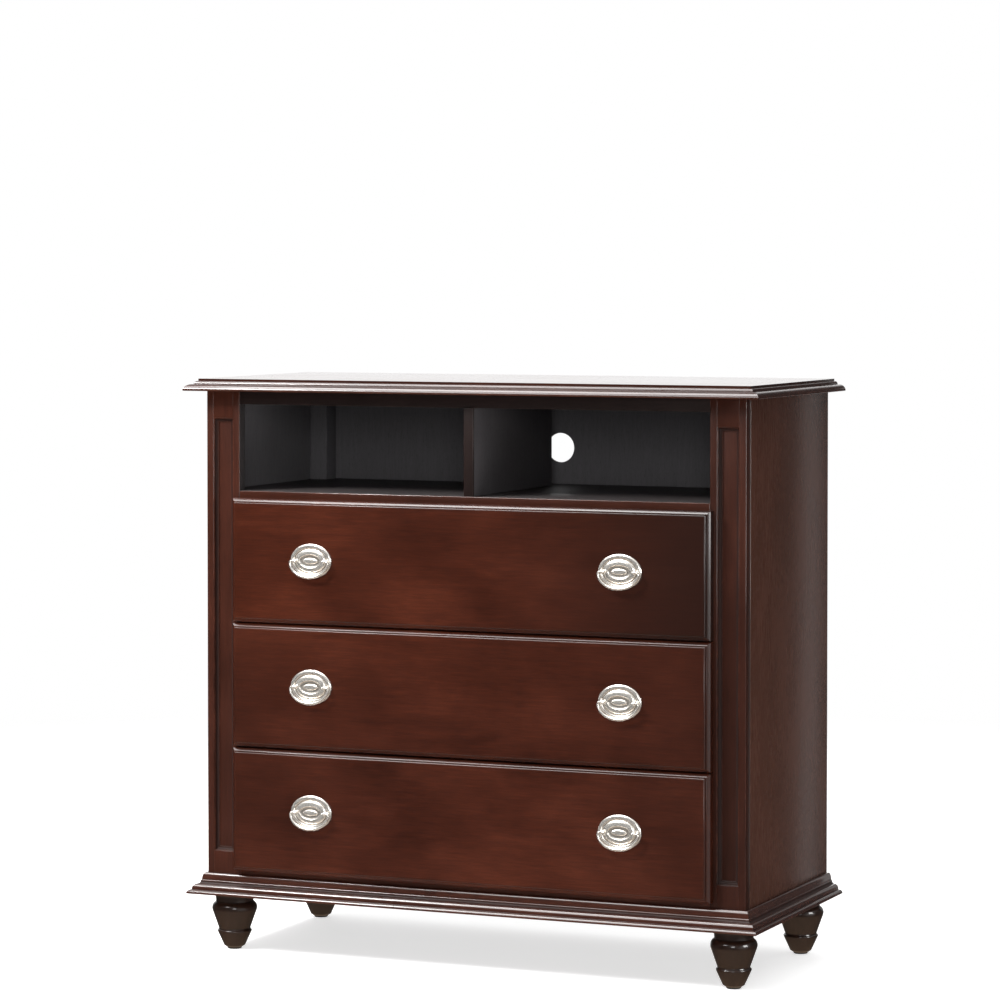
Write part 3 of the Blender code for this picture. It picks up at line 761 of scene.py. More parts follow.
def soften(mesh: BMesh, edges: Sequence[bmesh.types.BMEdge], arris: float) -> None:
    """Rounds the edges of a board and marks them as worn.

    Args:
        mesh: the board.
        edges: those that are rounded.
        arris: how far the rounding reaches.
    """
    mark = mesh.faces.layers.float.get("edge") or mesh.faces.layers.float.new("edge")
    made = bmesh.ops.bevel(
        mesh,
        geom=list(edges),
        offset=arris,
        segments=ROUND_STEPS,
        profile=0.5,
        affect="EDGES",
        clamp_overlap=True,
    )
    for face in made["faces"]:
        face[mark] = 1.0
        face.smooth = True


def add_board(mesh: BMesh, low: Sequence[float], high: Sequence[float], arris: float) -> None:
    """Adds a board with softened arrises to a mesh.

    Args:
        mesh: the mesh.
        low: the board's lowest corner.
        high: its highest corner.
        arris: how far its rounded edges reach.
    """
    middle = (Vector(low) + Vector(high)) / 2
    size = Vector(high) - Vector(low)
    made = bmesh.ops.create_cube(mesh, size=1.0, matrix=Matrix.LocRotScale(middle, None, size))
    edges = {edge for vert in made["verts"] for edge in vert.link_edges}
    soften(mesh, sorted(edges, key=lambda e: tuple(e.verts[0].co) + tuple(e.verts[1].co)), arris)


def softened_copy(node: str, arris: float) -> BMesh:
    """A copy of a packed board with its arrises softened.

    Args:
        node: the board's node.
        arris: how far its rounded edges reach.

    Returns:
        The mesh.
    """
    mesh = bmesh.new()
    mesh.from_mesh(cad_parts[node].data)
    bmesh.ops.remove_doubles(mesh, verts=mesh.verts, dist=MERGE)
    bmesh.ops.dissolve_limit(mesh, angle_limit=FLAT_ANGLE, verts=mesh.verts, edges=mesh.edges)
    for face in mesh.faces:
        face.smooth = False
    mesh.edges.ensure_lookup_table()
    sharp = [e for e in mesh.edges if e.is_manifold and e.calc_face_angle() > ARRIS_ANGLE]
    soften(mesh, sharp, arris)
    return mesh


def turned(section: Sequence[Point], segments: int) -> BMesh:
    """A closed section turned into a ring about the Z axis.

    Args:
        section: radius and height of each point.
        segments: sides of the round.

    Returns:
        The mesh.
    """
    angles = [FULL_TURN * i / segments for i in range(segments)]
    return skin([[(r * math.cos(a), r * math.sin(a), h) for r, h in section] for a in angles], closed=True)


def headed(section: Sequence[Point], segments: int, axis: Place) -> BMesh:
    """A small round solid, such as the head of a fixing.

    Args:
        section: depth along the axis and radius, from the middle of one end to that of the other.
        segments: sides of the round.
        axis: the direction that it points in.

    Returns:
        The mesh.
    """
    along = Vector(axis)
    side = along.orthogonal().normalized()
    rings = []
    for i in range(segments):
        ray = Matrix.Rotation(FULL_TURN * i / segments, 3, along) @ side
        rings.append([tuple(along * depth + ray * radius) for depth, radius in section])
    mesh = skin(rings, closed=True)
    bmesh.ops.remove_doubles(mesh, verts=mesh.verts, dist=FINE_MERGE)
    bmesh.ops.recalc_face_normals(mesh, faces=mesh.faces)
    return mesh


def mesh_data(name: str, mesh: BMesh) -> bpy.types.Mesh:
    """The data of a mesh, which is used up.

    Args:
        name: of the data.
        mesh: the mesh.

    Returns:
        The data.
    """
    data = bpy.data.meshes.new(name)
    mesh.to_mesh(data)
    mesh.free()
    return data


def in_scene(name: str, data: bpy.types.ID) -> Object:
    """A new object in the scene.

    Args:
        name: the object's name.
        data: its mesh, curve, light or camera.

    Returns:
        The object.
    """
    made = bpy.data.objects.new(name, data)
    bpy.context.scene.collection.objects.link(made)
    return made


def join(meshes: Sequence[BMesh]) -> BMesh:
    """Several meshes as the shells of one.

    Args:
        meshes: the meshes, which are used up.

    Returns:
        The whole.
    """
    whole = bmesh.new()
    for mesh in meshes:
        part = mesh_data("part", mesh)
        whole.from_mesh(part)
        bpy.data.meshes.remove(part)
    return whole


# Shape rules


class ShapeRule:
    """A shape made by a node tree from named sizes, and turned into a plain mesh."""

    def __init__(self, name: str) -> None:
        """Starts an empty tree with one shape as its result.

        Args:
            name: the tree's name.
        """
        self.name = name
        self.tree = bpy.data.node_groups.new(name, "GeometryNodeTree")
        self.desk = Desk(self.tree)
        self.keys: dict[str, str] = {}
        self.tree.interface.new_socket("Shape", in_out="OUTPUT", socket_type="NodeSocketGeometry")

    def inputs(self, **kinds: str) -> dict[str, NodeSocket]:
        """Adds the named inputs, and the finish.

        Args:
            kinds: the kind of each input, by name, with _ for each space.

        Returns:
            The socket of each, by name.
        """
        for label, kind in {**kinds, "Finish": "Material"}.items():
            name = label.replace("_", " ")
            made = self.tree.interface.new_socket(name, in_out="INPUT", socket_type=f"NodeSocket{kind}")
            self.keys[label] = made.identifier
        entry = self.desk.node("NodeGroupInput")
        return {label: entry.outputs[label.replace("_", " ")] for label in self.keys}

    def guide(self, source: NodeSocket) -> NodeSocket:
        """The shape of an object that is an input."""
        return self.desk.node("GeometryNodeObjectInfo", {"Object": source}).outputs["Geometry"]

    def end(self, shape: Node, finish: NodeSocket) -> None:
        """Ends the tree: instances become real, and the finish is set.

        Args:
            shape: the last node of the shape.
            finish: the input that holds the material.
        """
        real = self.desk.node("GeometryNodeRealizeInstances", {"Geometry": shape})
        dressed = self.desk.node("GeometryNodeSetMaterial", {"Geometry": real, "Material": finish})
        self.desk.node("NodeGroupOutput", {0: dressed})

    def shape(self, **sizes: Any) -> BMesh:
        """Makes the shape.

        Args:
            sizes: a value for each input, with _ for each space in its name.

        Returns:
            The shape as a plain mesh with its faces outward.
        """
        carrier = in_scene(self.name, bpy.data.meshes.new(self.name))
        modifier = carrier.modifiers.new(self.name, "NODES")
        modifier.node_group = self.tree
        for label, value in sizes.items():
            modifier[self.keys[label]] = value
        bpy.context.view_layer.update()
        data = bpy.data.meshes.new_from_object(carrier.evaluated_get(bpy.context.evaluated_depsgraph_get()))
        bpy.data.objects.remove(carrier)
        mesh = bmesh.new()
        mesh.from_mesh(data)
        bpy.data.meshes.remove(data)
        bmesh.ops.recalc_face_normals(mesh, faces=mesh.faces)
        return mesh


class RingRule(ShapeRule):
    """Rings set in from an oval or a circle, each at its own height: a turning or a cast plate."""

    def __init__(self) -> None:
        """Lays out the tree."""
        super().__init__("rings")
        desk = self.desk
        size = self.inputs(
            Half_width="Float", Half_height="Float", Section="Object", Rings="Int", Segments="Int"
        )
        rings, segments, half_width, half_height = (
            Value(desk, size[label]) for label in ("Rings", "Segments", "Half_width", "Half_height")
        )
        grid = desk.node("GeometryNodeMeshGrid", {"Vertices X": segments + 1.0, "Vertices Y": rings})
        index = desk.value("GeometryNodeInputIndex")
        ring, turn = index % rings, (index / rings).floor() / segments * FULL_TURN
        section = self.guide(size["Section"])

        def at_ring(value: Any, kind: str) -> NodeSocket:
            """What the section carries at the point of each ring."""
            sockets = {"Geometry": section, "Value": value, "Index": ring}
            return desk.node("GeometryNodeSampleIndex", sockets, data_type=kind, domain="POINT").outputs[0]

        point = at_ring(desk.node("GeometryNodeInputPosition"), "FLOAT_VECTOR")
        inset, spread, height = desk.parts(point).values()
        wide = (half_width - inset) * spread * turn.cosine()
        high = (half_height - inset) * spread * turn.sine()
        place = desk.vector(wide, high, height)
        placed = desk.node("GeometryNodeSetPosition", {"Geometry": grid, "Position": place})
        mark = desk.node("GeometryNodeInputNamedAttribute", {"Name": "hollow"}, data_type="FLOAT")
        hollow = at_ring(mark.outputs["Attribute"], "FLOAT")
        sockets = {"Geometry": placed, "Name": "hollow", "Value": hollow}
        stored = desk.node("GeometryNodeStoreNamedAttribute", sockets, data_type="FLOAT", domain="POINT")
        closed = desk.node("GeometryNodeMergeByDistance", {"Geometry": stored, "Distance": FINE_MERGE})
        self.end(desk.node("GeometryNodeSetShadeSmooth", {"Geometry": closed}), size["Finish"])

    def form(
        self,
        section: Sequence[Place],
        hollow: Sequence[float],
        half: Point,
        segments: int,
        finish: Material,
    ) -> BMesh:
        """Makes one form.

        Args:
            section: inset, spread (0 gathers the ring to a point) and height of each ring.
            hollow: how sunk each ring is, or below 0 how worn.
            half: half width and half height of the outermost oval.
            segments: stretches round each ring.
            finish: its material.

        Returns:
            The form about its own Z axis.
        """
        data = bpy.data.meshes.new("section")
        data.from_pydata(section, [(i, i + 1) for i in range(len(section) - 1)], [])
        data.attributes.new("hollow", "FLOAT", "POINT").data.foreach_set("value", hollow)
        guide = in_scene("section", data)
        mesh = self.shape(
            Half_width=half[0],
            Half_height=half[1],
            Section=guide,
            Rings=len(section),
            Segments=segments,
            Finish=finish,
        )
        bpy.data.objects.remove(guide)
        return mesh


class BarRule(ShapeRule):
    """A round bar of varying thickness along a path."""

    def __init__(self) -> None:
        """Lays out the tree."""
        super().__init__("bar")
        desk = self.desk
        size = self.inputs(Path="Object", Sides="Int")
        sockets = {
            "Curve": self.guide(size["Path"]),
            "Profile Curve": desk.node(
                "GeometryNodeCurvePrimitiveCircle", {"Resolution": size["Sides"], "Radius": 1.0}
            ),
            "Scale": desk.node("GeometryNodeInputRadius"),
            "Fill Caps": True,
        }
        bar = desk.node("GeometryNodeCurveToMesh", sockets)
        self.end(desk.node("GeometryNodeSetShadeSmooth", {"Geometry": bar}), size["Finish"])


class FixingRule(ShapeRule):
    """Fixings spaced evenly along paths, each turned by chance about its own axis."""

    def __init__(self) -> None:
        """Lays out the tree."""
        super().__init__("fixings")
        desk = self.desk
        size = self.inputs(Path="Object", Fixing="Object", Spacing="Float", Axis="Vector", Seed="Int")
        along = {"Curve": self.guide(size["Path"]), "Length": size["Spacing"]}
        spots = desk.node("GeometryNodeResampleCurve", along, mode="LENGTH")
        fixing = desk.node("GeometryNodeObjectInfo", {"Object": size["Fixing"], "As Instance": True})
        span = {"Min_001": 0.0, "Max_001": FULL_TURN, "Seed": size["Seed"]}
        chance = desk.node("FunctionNodeRandomValue", span, data_type="FLOAT")
        turn = {"Axis": size["Axis"], "Angle": chance.outputs[1]}
        sockets = {
            "Points": spots,
            "Instance": fixing.outputs["Geometry"],
            "Rotation": desk.node("FunctionNodeAxisAngleToRotation", turn),
        }
        self.end(desk.node("GeometryNodeInstanceOnPoints", sockets), size["Finish"])


def path_object(splines: Sequence[Sequence[Place]], radii: Sequence[float] | None = None) -> Object:
    """A guide of straight stretches for a shape rule.

    Args:
        splines: the points of each path.
        radii: the bar's radius at each point, where there is one path.

    Returns:
        The guide.
    """
    data = bpy.data.curves.new("path", "CURVE")
    data.dimensions = "3D"
    for points in splines:
        spline = data.splines.new("POLY")
        spline.points.add(len(points) - 1)
        for i, (point, place) in enumerate(zip(spline.points, points)):
            point.co = (*place, 1.0)
            point.radius = radii[i] if radii else 1.0
    return in_scene("path", data)


# Pieces


@dataclass(frozen=True)
class Fixing:
    """A small fixing of round shells, each with its number of sides and its section for headed."""

    finish: Metal | Moulded
    slot: str
    shells: tuple[tuple[int, tuple[Point, ...]], ...]

    def mesh(self, axis: Place) -> BMesh:
        """The fixing about the origin, pointing along an axis."""
        return join([headed(section, sides, axis) for sides, section in self.shells])


@dataclass
class Bench:
    """Turns meshes into named pieces and ties them to the frame."""

    rings: RingRule = field(default_factory=RingRule)
    bars: BarRule = field(default_factory=BarRule)
    fixings: FixingRule = field(default_factory=FixingRule)
    made: dict[tuple[str, ...], Material] = field(default_factory=dict)

    def dress(self, finish: Finish, grain: Grain | None = None, lining: Lining | None = None) -> Material:
        """The material of a finish, made the first time that it is asked for.

        Args:
            finish: the finish.
            grain: which way the fibres run, on wood.
            lining: a second colour on part of the wood, used as stain, painted light and painted shade.

        Returns:
            The material.
        """
        terms = [term for term in (grain, lining) if term]
        key = (finish.name, *(term.name for term in terms))
        if key not in self.made:
            self.made[key] = finish.material(*terms)
        return self.made[key]

    def piece(
        self, name: str, mesh: BMesh, finish: Material, body: str, nodes: Sequence[str] = ()
    ) -> None:
        """Makes a piece and ties it to its body.

        Args:
            name: the piece's name.
            mesh: its shape, in place; it is used up.
            finish: its material.
            body: the body that it rides on.
            nodes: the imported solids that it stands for.
        """
        data = mesh_data(name, mesh)
        data.set_sharp_from_angle(angle=SMOOTH_ANGLE)
        data.materials.clear()
        data.materials.append(finish)
        made = in_scene(name, data)
        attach(made, body)
        if nodes:
            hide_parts(*nodes)
        log.info("%s rides on %s with %d faces", name, body, len(data.polygons))

    def board(self, node: str, finish: Material, body: str, slot: str, arris: float) -> None:
        """A softened board in place of a packed one."""
        self.piece(f"{node}_board", softened_copy(node, arris), finish, body, [node])

    def fixed(
        self,
        name: str,
        fixing: Fixing,
        splines: Sequence[Sequence[Place]],
        spacing: float,
        body: str,
        axis: Place = (0.0, 1.0, 0.0),
        seed: int = 1,
    ) -> None:
        """A row of fixings as one piece.

        Args:
            name: the piece's name.
            fixing: one of them.
            splines: the paths that they follow.
            spacing: between them.
            body: the body that they ride on.
            axis: the direction that they point in.
            seed: of their turns.
        """
        sample = in_scene("fixing", mesh_data("fixing", fixing.mesh(axis)))
        path = path_object(splines)
        finish = self.dress(fixing.finish)
        mesh = self.fixings.shape(
            Path=path,
            Fixing=sample,
            Spacing=spacing,
            Axis=[abs(part) for part in axis],
            Seed=seed,
            Finish=finish,
        )
        bpy.data.objects.remove(sample)
        bpy.data.objects.remove(path)
        self.piece(name, mesh, finish, body)


@dataclass
class Carcase:
    """Planes of the case that its pieces are set out from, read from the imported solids."""

    x_case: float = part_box("side_panel_right")[1].x
    y_post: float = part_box("front_post_right")[0].y
    y_rear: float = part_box("back_panel")[1].y
    y_back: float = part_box("side_panel_right")[1].y
    z_base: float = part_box("base_moulding_front")[0].z
    z_top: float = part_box("top_panel")[0].z
    z_shelf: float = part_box("media_shelf")[1].z

    def within(self, at: dict[str, Value], face: float) -> Value:
        """The share of a point that lies between a face and the rear of the back panel."""
        rear = self.y_rear - LINING_MARGIN
        return at["y"].eased(face, face + LINING_BLEND) * (1.0 - at["y"].eased(rear, rear + LINING_BLEND))


@dataclass
class EdgeMoulding:
    """A moulding round the front and both ends of the case, in three mitred lengths."""

    case: Carcase
    name: str
    slot: str
    z: float
    section: Outline
    mitre: float = 0.00005

    def build(self, bench: Bench) -> None:
        """Makes and dresses the three lengths.

        Args:
            bench: where the pieces are made.
        """
        front = [self._corner(s, self.mitre, 0.0) for s in Side]
        self._dress(bench, "front", front, Grain.ACROSS)
        for s in Side:
            cut = self._corner(s, 0.0, self.mitre)
            end = [(x, self.case.y_back, z) for x, _, z in cut]
            self._dress(bench, s.word, [cut, end], Grain.DEEP)

    def _corner(self, s: Side, across: float, deep: float) -> list[Place]:
        """The section at a front corner, cut back from the mitre.

        Args:
            s: the corner's side.
            across: how far it is cut back toward the middle.
            deep: how far it is cut back toward the rear.

        Returns:
            The points.
        """
        x, y = self.case.x_case, self.case.y_post
        points = self.section.points
        return [(s.value * (x + out - across), y - out + deep, self.z + up) for out, up in points]

    def _dress(self, bench: Bench, place: str, rings: Sequence[Sequence[Place]], grain: Grain) -> None:
        """Makes one length a piece.

        Args:
            bench: where the piece is made.
            place: the length's place, as its node names it.
            rings: the section at both of its ends.
            grain: which way its fibres run.
        """
        node = f"{self.name}_{place}"
        mesh = skin(rings, around=self.section.edges)
        bench.piece(f"{node}_run", mesh, bench.dress(MOULD_WOOD, grain), "case", [node])


@dataclass
class MouldedTop:
    """The top board inside its moulded edge."""

    case: Carcase
    overhang: float = 0.032
    edge_width: float = 0.050
    undercut: float = 0.0009
    nose: Point = (0.0134, 0.0106)
    nose_steps: int = 14
    quirk: float = 0.0012
    ovolo: Point = (0.0056, 0.0055)
    ledge: float = 0.0006
    fillet: float = 0.0040
    arris: float = 0.0007
    curve_polish: float = 0.50
    polish: float = 0.40

    @property
    def thickness(self) -> float:
        """Height of the moulded edge."""
        return self.undercut + self.nose[1] + self.ovolo[1] + self.fillet

    def section(self) -> list[Point]:
        """Outset from the case and height above it, round the moulded edge.

        Returns:
            The points.
        """
        inner = self.overhang - self.edge_width
        nose = self.overhang - self.nose[0]
        ovolo = nose - self.quirk - self.ovolo[0]
        fillet = ovolo - self.ledge
        z_nose = self.undercut + self.nose[1]
        return [
            (inner, 0.0),
            (self.overhang - self.undercut, 0.0),
            *arc((nose, self.undercut), self.nose, 0, 90, self.nose_steps),
            *arc((ovolo, z_nose), self.ovolo, 0, 90),
            (fillet, z_nose + self.ovolo[1]),
            (fillet, self.thickness),
            (inner, self.thickness),
        ]

    def build(self, bench: Bench) -> None:
        """Makes the moulded edge and the board, which meet without a gap.

        Args:
            bench: where the pieces are made.
        """
        case, section = self.case, self.section()
        rounded = eased(section[1:-1], self.arris, closed=False, curves=self.curve_polish)
        edges = [0.0, *rounded.edges[:-1], self.polish, 0.0]
        whole = Outline([section[0], *rounded.points, section[-1]], edges)
        EdgeMoulding(case, "top_moulding", "top_wood", case.z_top, whole).build(bench)
        x = case.x_case + self.overhang - self.edge_width
        y = case.y_post - self.overhang + self.edge_width
        low, high = case.z_top, case.z_top + self.thickness
        corners = [(y, low), (case.y_back, low), (case.y_back, high), (y, high)]
        end = eased(corners, self.arris, closed=False)
        rings = [[(s.value * x, deep, up) for deep, up in end.points] for s in Side]
        board = skin(rings, around=[*end.edges[:-2], self.polish, 0.0])
        finish = bench.dress(MOULD_WOOD, Grain.ACROSS)
        bench.piece("top_board", board, finish, "case", ["top_panel"])


@dataclass
class MouldedBase:
    """The moulding that the case stands in, over the feet."""

    case: Carcase
    seat: float = 0.0003
    top_ledge: float = 0.0030
    ovolo: Point = (0.0052, 0.0124)
    ledge: Point = (0.0016, 0.0020)
    ledge_steps: int = 5
    cove: Point = (0.0044, 0.0048)
    swell: Point = (0.0071, 0.0076)
    fillet: float = 0.0020
    nose_ledge: float = 0.0011
    nose: Point = (0.0066, 0.0056)
    undercut: float = 0.0015
    arris: float = 0.0005
    polish: float = 0.9

    def section(self) -> list[Point]:
        """Outset from the case and height above the feet, round the moulding.

        Returns:
            The points.
        """
        ovolo = self.top_ledge
        cove = ovolo + self.ovolo[0] + self.ledge[0]
        swell = cove + self.cove[0]
        fillet = swell + self.swell[0]
        nose = fillet + self.nose_ledge
        z_nose = self.undercut + self.nose[1]
        z_swell = z_nose + self.fillet
        z_ledge = z_swell + self.swell[1] + self.cove[1]
        z_ovolo = z_ledge + self.ledge[1]
        return [
            (self.seat, 0.0),
            (nose + self.nose[0] - self.undercut, 0.0),
            *arc((nose, self.undercut), self.nose, 0, 90),
            (fillet, z_nose),
            *arc((swell, z_swell), self.swell, 0, 90),
            *arc((swell, z_ledge), self.cove, 270, 180)[1:],
            *arc((cove - self.ledge[0], z_ledge), self.ledge, 0, 90, self.ledge_steps),
            *arc((ovolo, z_ovolo), self.ovolo, 0, 90),
            (self.seat, z_ovolo + self.ovolo[1]),
        ]

    def build(self, bench: Bench) -> None:
        """Makes the three lengths."""
        # The cove and inner corners are darkened as glaze and painted shade; the swells count as polished.
        section = eased(self.section(), self.arris, curves=self.polish)
        EdgeMoulding(self.case, "base_moulding", "frame_wood", self.case.z_base, section).build(bench)


@dataclass
class TurnedFeet:
    """Four turned feet, each with a glide nailed under it."""

    height: float = 0.102
    seat: float = 0.0003
    head: float = 0.037
    neck: float = 0.0332
    neck_drop: float = 0.0160
    flare: float = 0.0125
    bulb: float = 0.040
    bulb_drop: float = 0.0290
    bulb_steps: int = 16
    waist: Point = (0.0278, 0.0365)
    ring: Point = (0.0304, 0.0320)
    ring_round: float = 0.0027
    toe: Point = (0.0186, 0.0060)
    glide: Point = (0.0125, 0.0020)
    glide_ease: float = 0.0006
    glide_sides: int = 16
    tenon: Point = (0.0065, 0.015)
    arris: float = 0.0008
    polish: float = 0.45
    segments: int = 72

    def section(self) -> list[Point]:
        """Radius and height, from the top of the tenon to the glide.

        Returns:
            The points.
        """
        z_bulb = self.height - self.bulb_drop
        z_neck = self.height - self.neck_drop
        head = self.height - self.seat
        core = 2 * self.neck - self.bulb
        ring = self.ring[0] - self.waist[0]
        return [
            (0.0, head + self.tenon[1]),
            (self.tenon[0], head + self.tenon[1]),
            (self.tenon[0], head),
            (self.head, head),
            *arc((self.head, z_neck), (self.head - self.neck, self.flare), 90, 180),
            *arc((core, z_bulb), (self.bulb - core, z_neck - z_bulb), 60, -20, self.bulb_steps),
            self.waist,
            *arc((self.waist[0], self.ring[1]), (ring, self.ring_round), 75, -15),
            self.toe,
            self.glide,
            (0.0, self.glide[1]),
        ]

    def pad(self) -> Fixing:
        """The glide under a foot.

        Returns:
            The glide, as a fixing.
        """
        radius, rise = self.glide
        ease = self.glide_ease
        section = ((0.0, 0.0), (0.0, radius - ease), (ease, radius), (rise, radius), (rise, 0.0))
        return Fixing(NYLON, "foot_wood", ((self.glide_sides, section),))

    def build(self, bench: Bench) -> None:
        """Makes the four feet and their glides.

        Args:
            bench: where the pieces are made.
        """
        section = eased(self.section(), self.arris, closed=False, convex=-1, curves=self.polish)
        rings = [(self.bulb - r, 1.0, h) for r, h in section.points]
        # Hollows of the turning, the neck under the base among them, are darkened as glaze and painted
        # shade; swells count as worn.
        hollow = [-e for e in section.edges]
        finish = bench.dress(FOOT_WOOD, Grain.UPRIGHT)
        rows = []
        for row in ("front", "rear"):
            places = []
            for s in Side:
                node = f"foot_{row}_{s.word}"
                low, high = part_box(node)
                place = Vector(((low.x + high.x) / 2, (low.y + high.y) / 2, 0.0))
                mesh = bench.rings.form(rings, hollow, (self.bulb, self.bulb), self.segments, finish)
                bmesh.ops.translate(mesh, verts=mesh.verts, vec=place)
                bench.piece(f"{node}_turning", mesh, finish, "case", [node])
                places.append(tuple(place))
            rows.append(places)
        spacing = rows[0][1][0] - rows[0][0][0]
        bench.fixed("foot_glides", self.pad(), rows, spacing, "case", axis=(0.0, 0.0, 1.0))


@dataclass
class FrontPost:
    """A front post of two stiles, a block at each end and a sunk panel framed by a bead."""

    side: Side
    stile: float = 0.0125
    top_block: float = 0.0475
    bottom_block: float = 0.0395
    panel_depth: float = 0.008
    seat: float = 0.0003
    fillet: float = 0.0014
    cove: float = 0.0046
    quirk: float = 0.0012
    step: float = 0.0012
    rise: float = 0.0012
    arris: float = 0.0007
    joint: float = 0.0003
    bead_arris: float = 0.0004
    bead_polish: float = 1.0
    stain_depth: float = 0.002

    def build(self, bench: Bench) -> None:
        """Makes the post and its bead.

        Args:
            bench: where the pieces are made.
        """
        node = f"front_post_{self.side.word}"
        low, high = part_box(node)
        x = (low.x + self.stile, high.x - self.stile)
        z = (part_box("base_moulding_front")[1].z + self.bottom_block, high.z - self.top_block)
        mesh = bmesh.new()
        add_board(mesh, low, (x[0], high.y, high.z), self.arris)
        add_board(mesh, (x[1], low.y, low.z), high, self.arris)
        add_board(mesh, (x[0], low.y, z[1]), (x[1], high.y, high.z), self.joint)
        add_board(mesh, (x[0], low.y, low.z), (x[1], high.y, z[0]), self.joint)
        add_board(mesh, (x[0], low.y + self.panel_depth, z[0]), (x[1], high.y, z[1]), self.joint)
        # The right post and its bead take the darker copy of the frame wood as painted shade.
        wood = FRAME_WOOD_PAINTED_SHADE if self.side is Side.RIGHT else FRAME_WOOD
        cheek = Lining("cheek", lambda at: self._on_cheek(at, min(abs(low.x), abs(high.x)), low.y))
        finish = bench.dress(wood, Grain.UPRIGHT, cheek)
        bench.piece(f"{node}_joinery", mesh, finish, "case", [node])
        section = eased(self.bead(), self.bead_arris, curves=self.bead_polish)
        rings = [rectangle(x, z, low.y + depth, inset) for inset, depth in section.points]
        bead = skin(rings, closed=True, along=section.edges)
        node = f"post_bead_{self.side.word}"
        bench.piece(f"{node}_strip", bead, bench.dress(wood, Grain.UPRIGHT), "case", [node])

    def _on_cheek(self, at: dict[str, Value], inner: float, face: float) -> Value:
        """The share of a point that lies on the cheek toward the drawers, behind the post's face.

        Args:
            at: where the point lies.
            inner: how far the cheek is from the chest's middle.
            face: the post's front face.

        Returns:
            The share.
        """
        depth = face + self.stain_depth
        outside = abs(at["x"]).eased(inner, inner + self.stain_depth)
        return at["y"].eased(depth, depth + LINING_BLEND) * (1.0 - outside)

    def bead(self) -> list[Point]:
        """Inset from the panel's edge and depth behind the post's face, round the bead.

        Returns:
            The points.
        """
        seat = self.panel_depth - self.seat
        foot = seat - self.rise
        inner = self.fillet + self.cove + self.quirk
        return [
            (self.seat, seat),
            (self.seat, self.step),
            (self.fillet, self.step),
            *arc((self.fillet + self.cove, self.step), (self.cove, foot - self.step), 180, 90)[1:],
            (inner, foot),
            (inner, seat),
        ]


@dataclass
class CaseBoards:
    """The plain boards of the case."""

    case: Carcase
    arris: float = 0.0008
    thin: float = 0.0005
    skin_depth: float = 0.004

    def build(self, bench: Bench) -> None:
        """Softens and dresses each board.

        Args:
            bench: where the pieces are made.
        """
        case, across = self.case, bench.dress(INNER_WOOD, Grain.ACROSS)
        # The top rail takes the dark inner wood as painted shade under the top's overhang.
        bench.board("top_rail", across, "case", "frame_wood", self.arris)
        for node in ("bottom_rail", "drawer_rail_upper", "drawer_rail_lower"):
            bench.board(node, bench.dress(FRAME_WOOD, Grain.ACROSS), "case", "frame_wood", self.arris)
        side = bench.dress(SIDE_WOOD, Grain.UPRIGHT, Lining("within", self._inner_face))
        post = bench.dress(INNER_WOOD, Grain.UPRIGHT, Lining("rear", lambda at: case.within(at, 0.0)))
        for s in Side:
            bench.board(f"side_panel_{s.word}", side, "case", "side_wood", self.arris)
            bench.board(f"rear_post_{s.word}", post, "case", "frame_wood", self.arris)
        bench.board("bottom_panel", across, "case", "inner_wood", self.thin)
        for level in Level:
            for s in Side:
                node = f"runner_{level.value}_{s.word}"
                bench.board(node, bench.dress(BOX_WOOD, Grain.DEEP), "case", "box_wood", self.thin)

    def _inner_face(self, at: dict[str, Value]) -> Value:
        """The share of a point that lies on the inner face of a side panel.

        Args:
            at: where the point lies.

        Returns:
            The share.
        """
        depth = self.case.x_case - self.skin_depth
        outside = abs(at["x"]).eased(depth - LINING_BLEND, depth)
        return self.case.within(at, self.case.y_post) * (1.0 - outside)


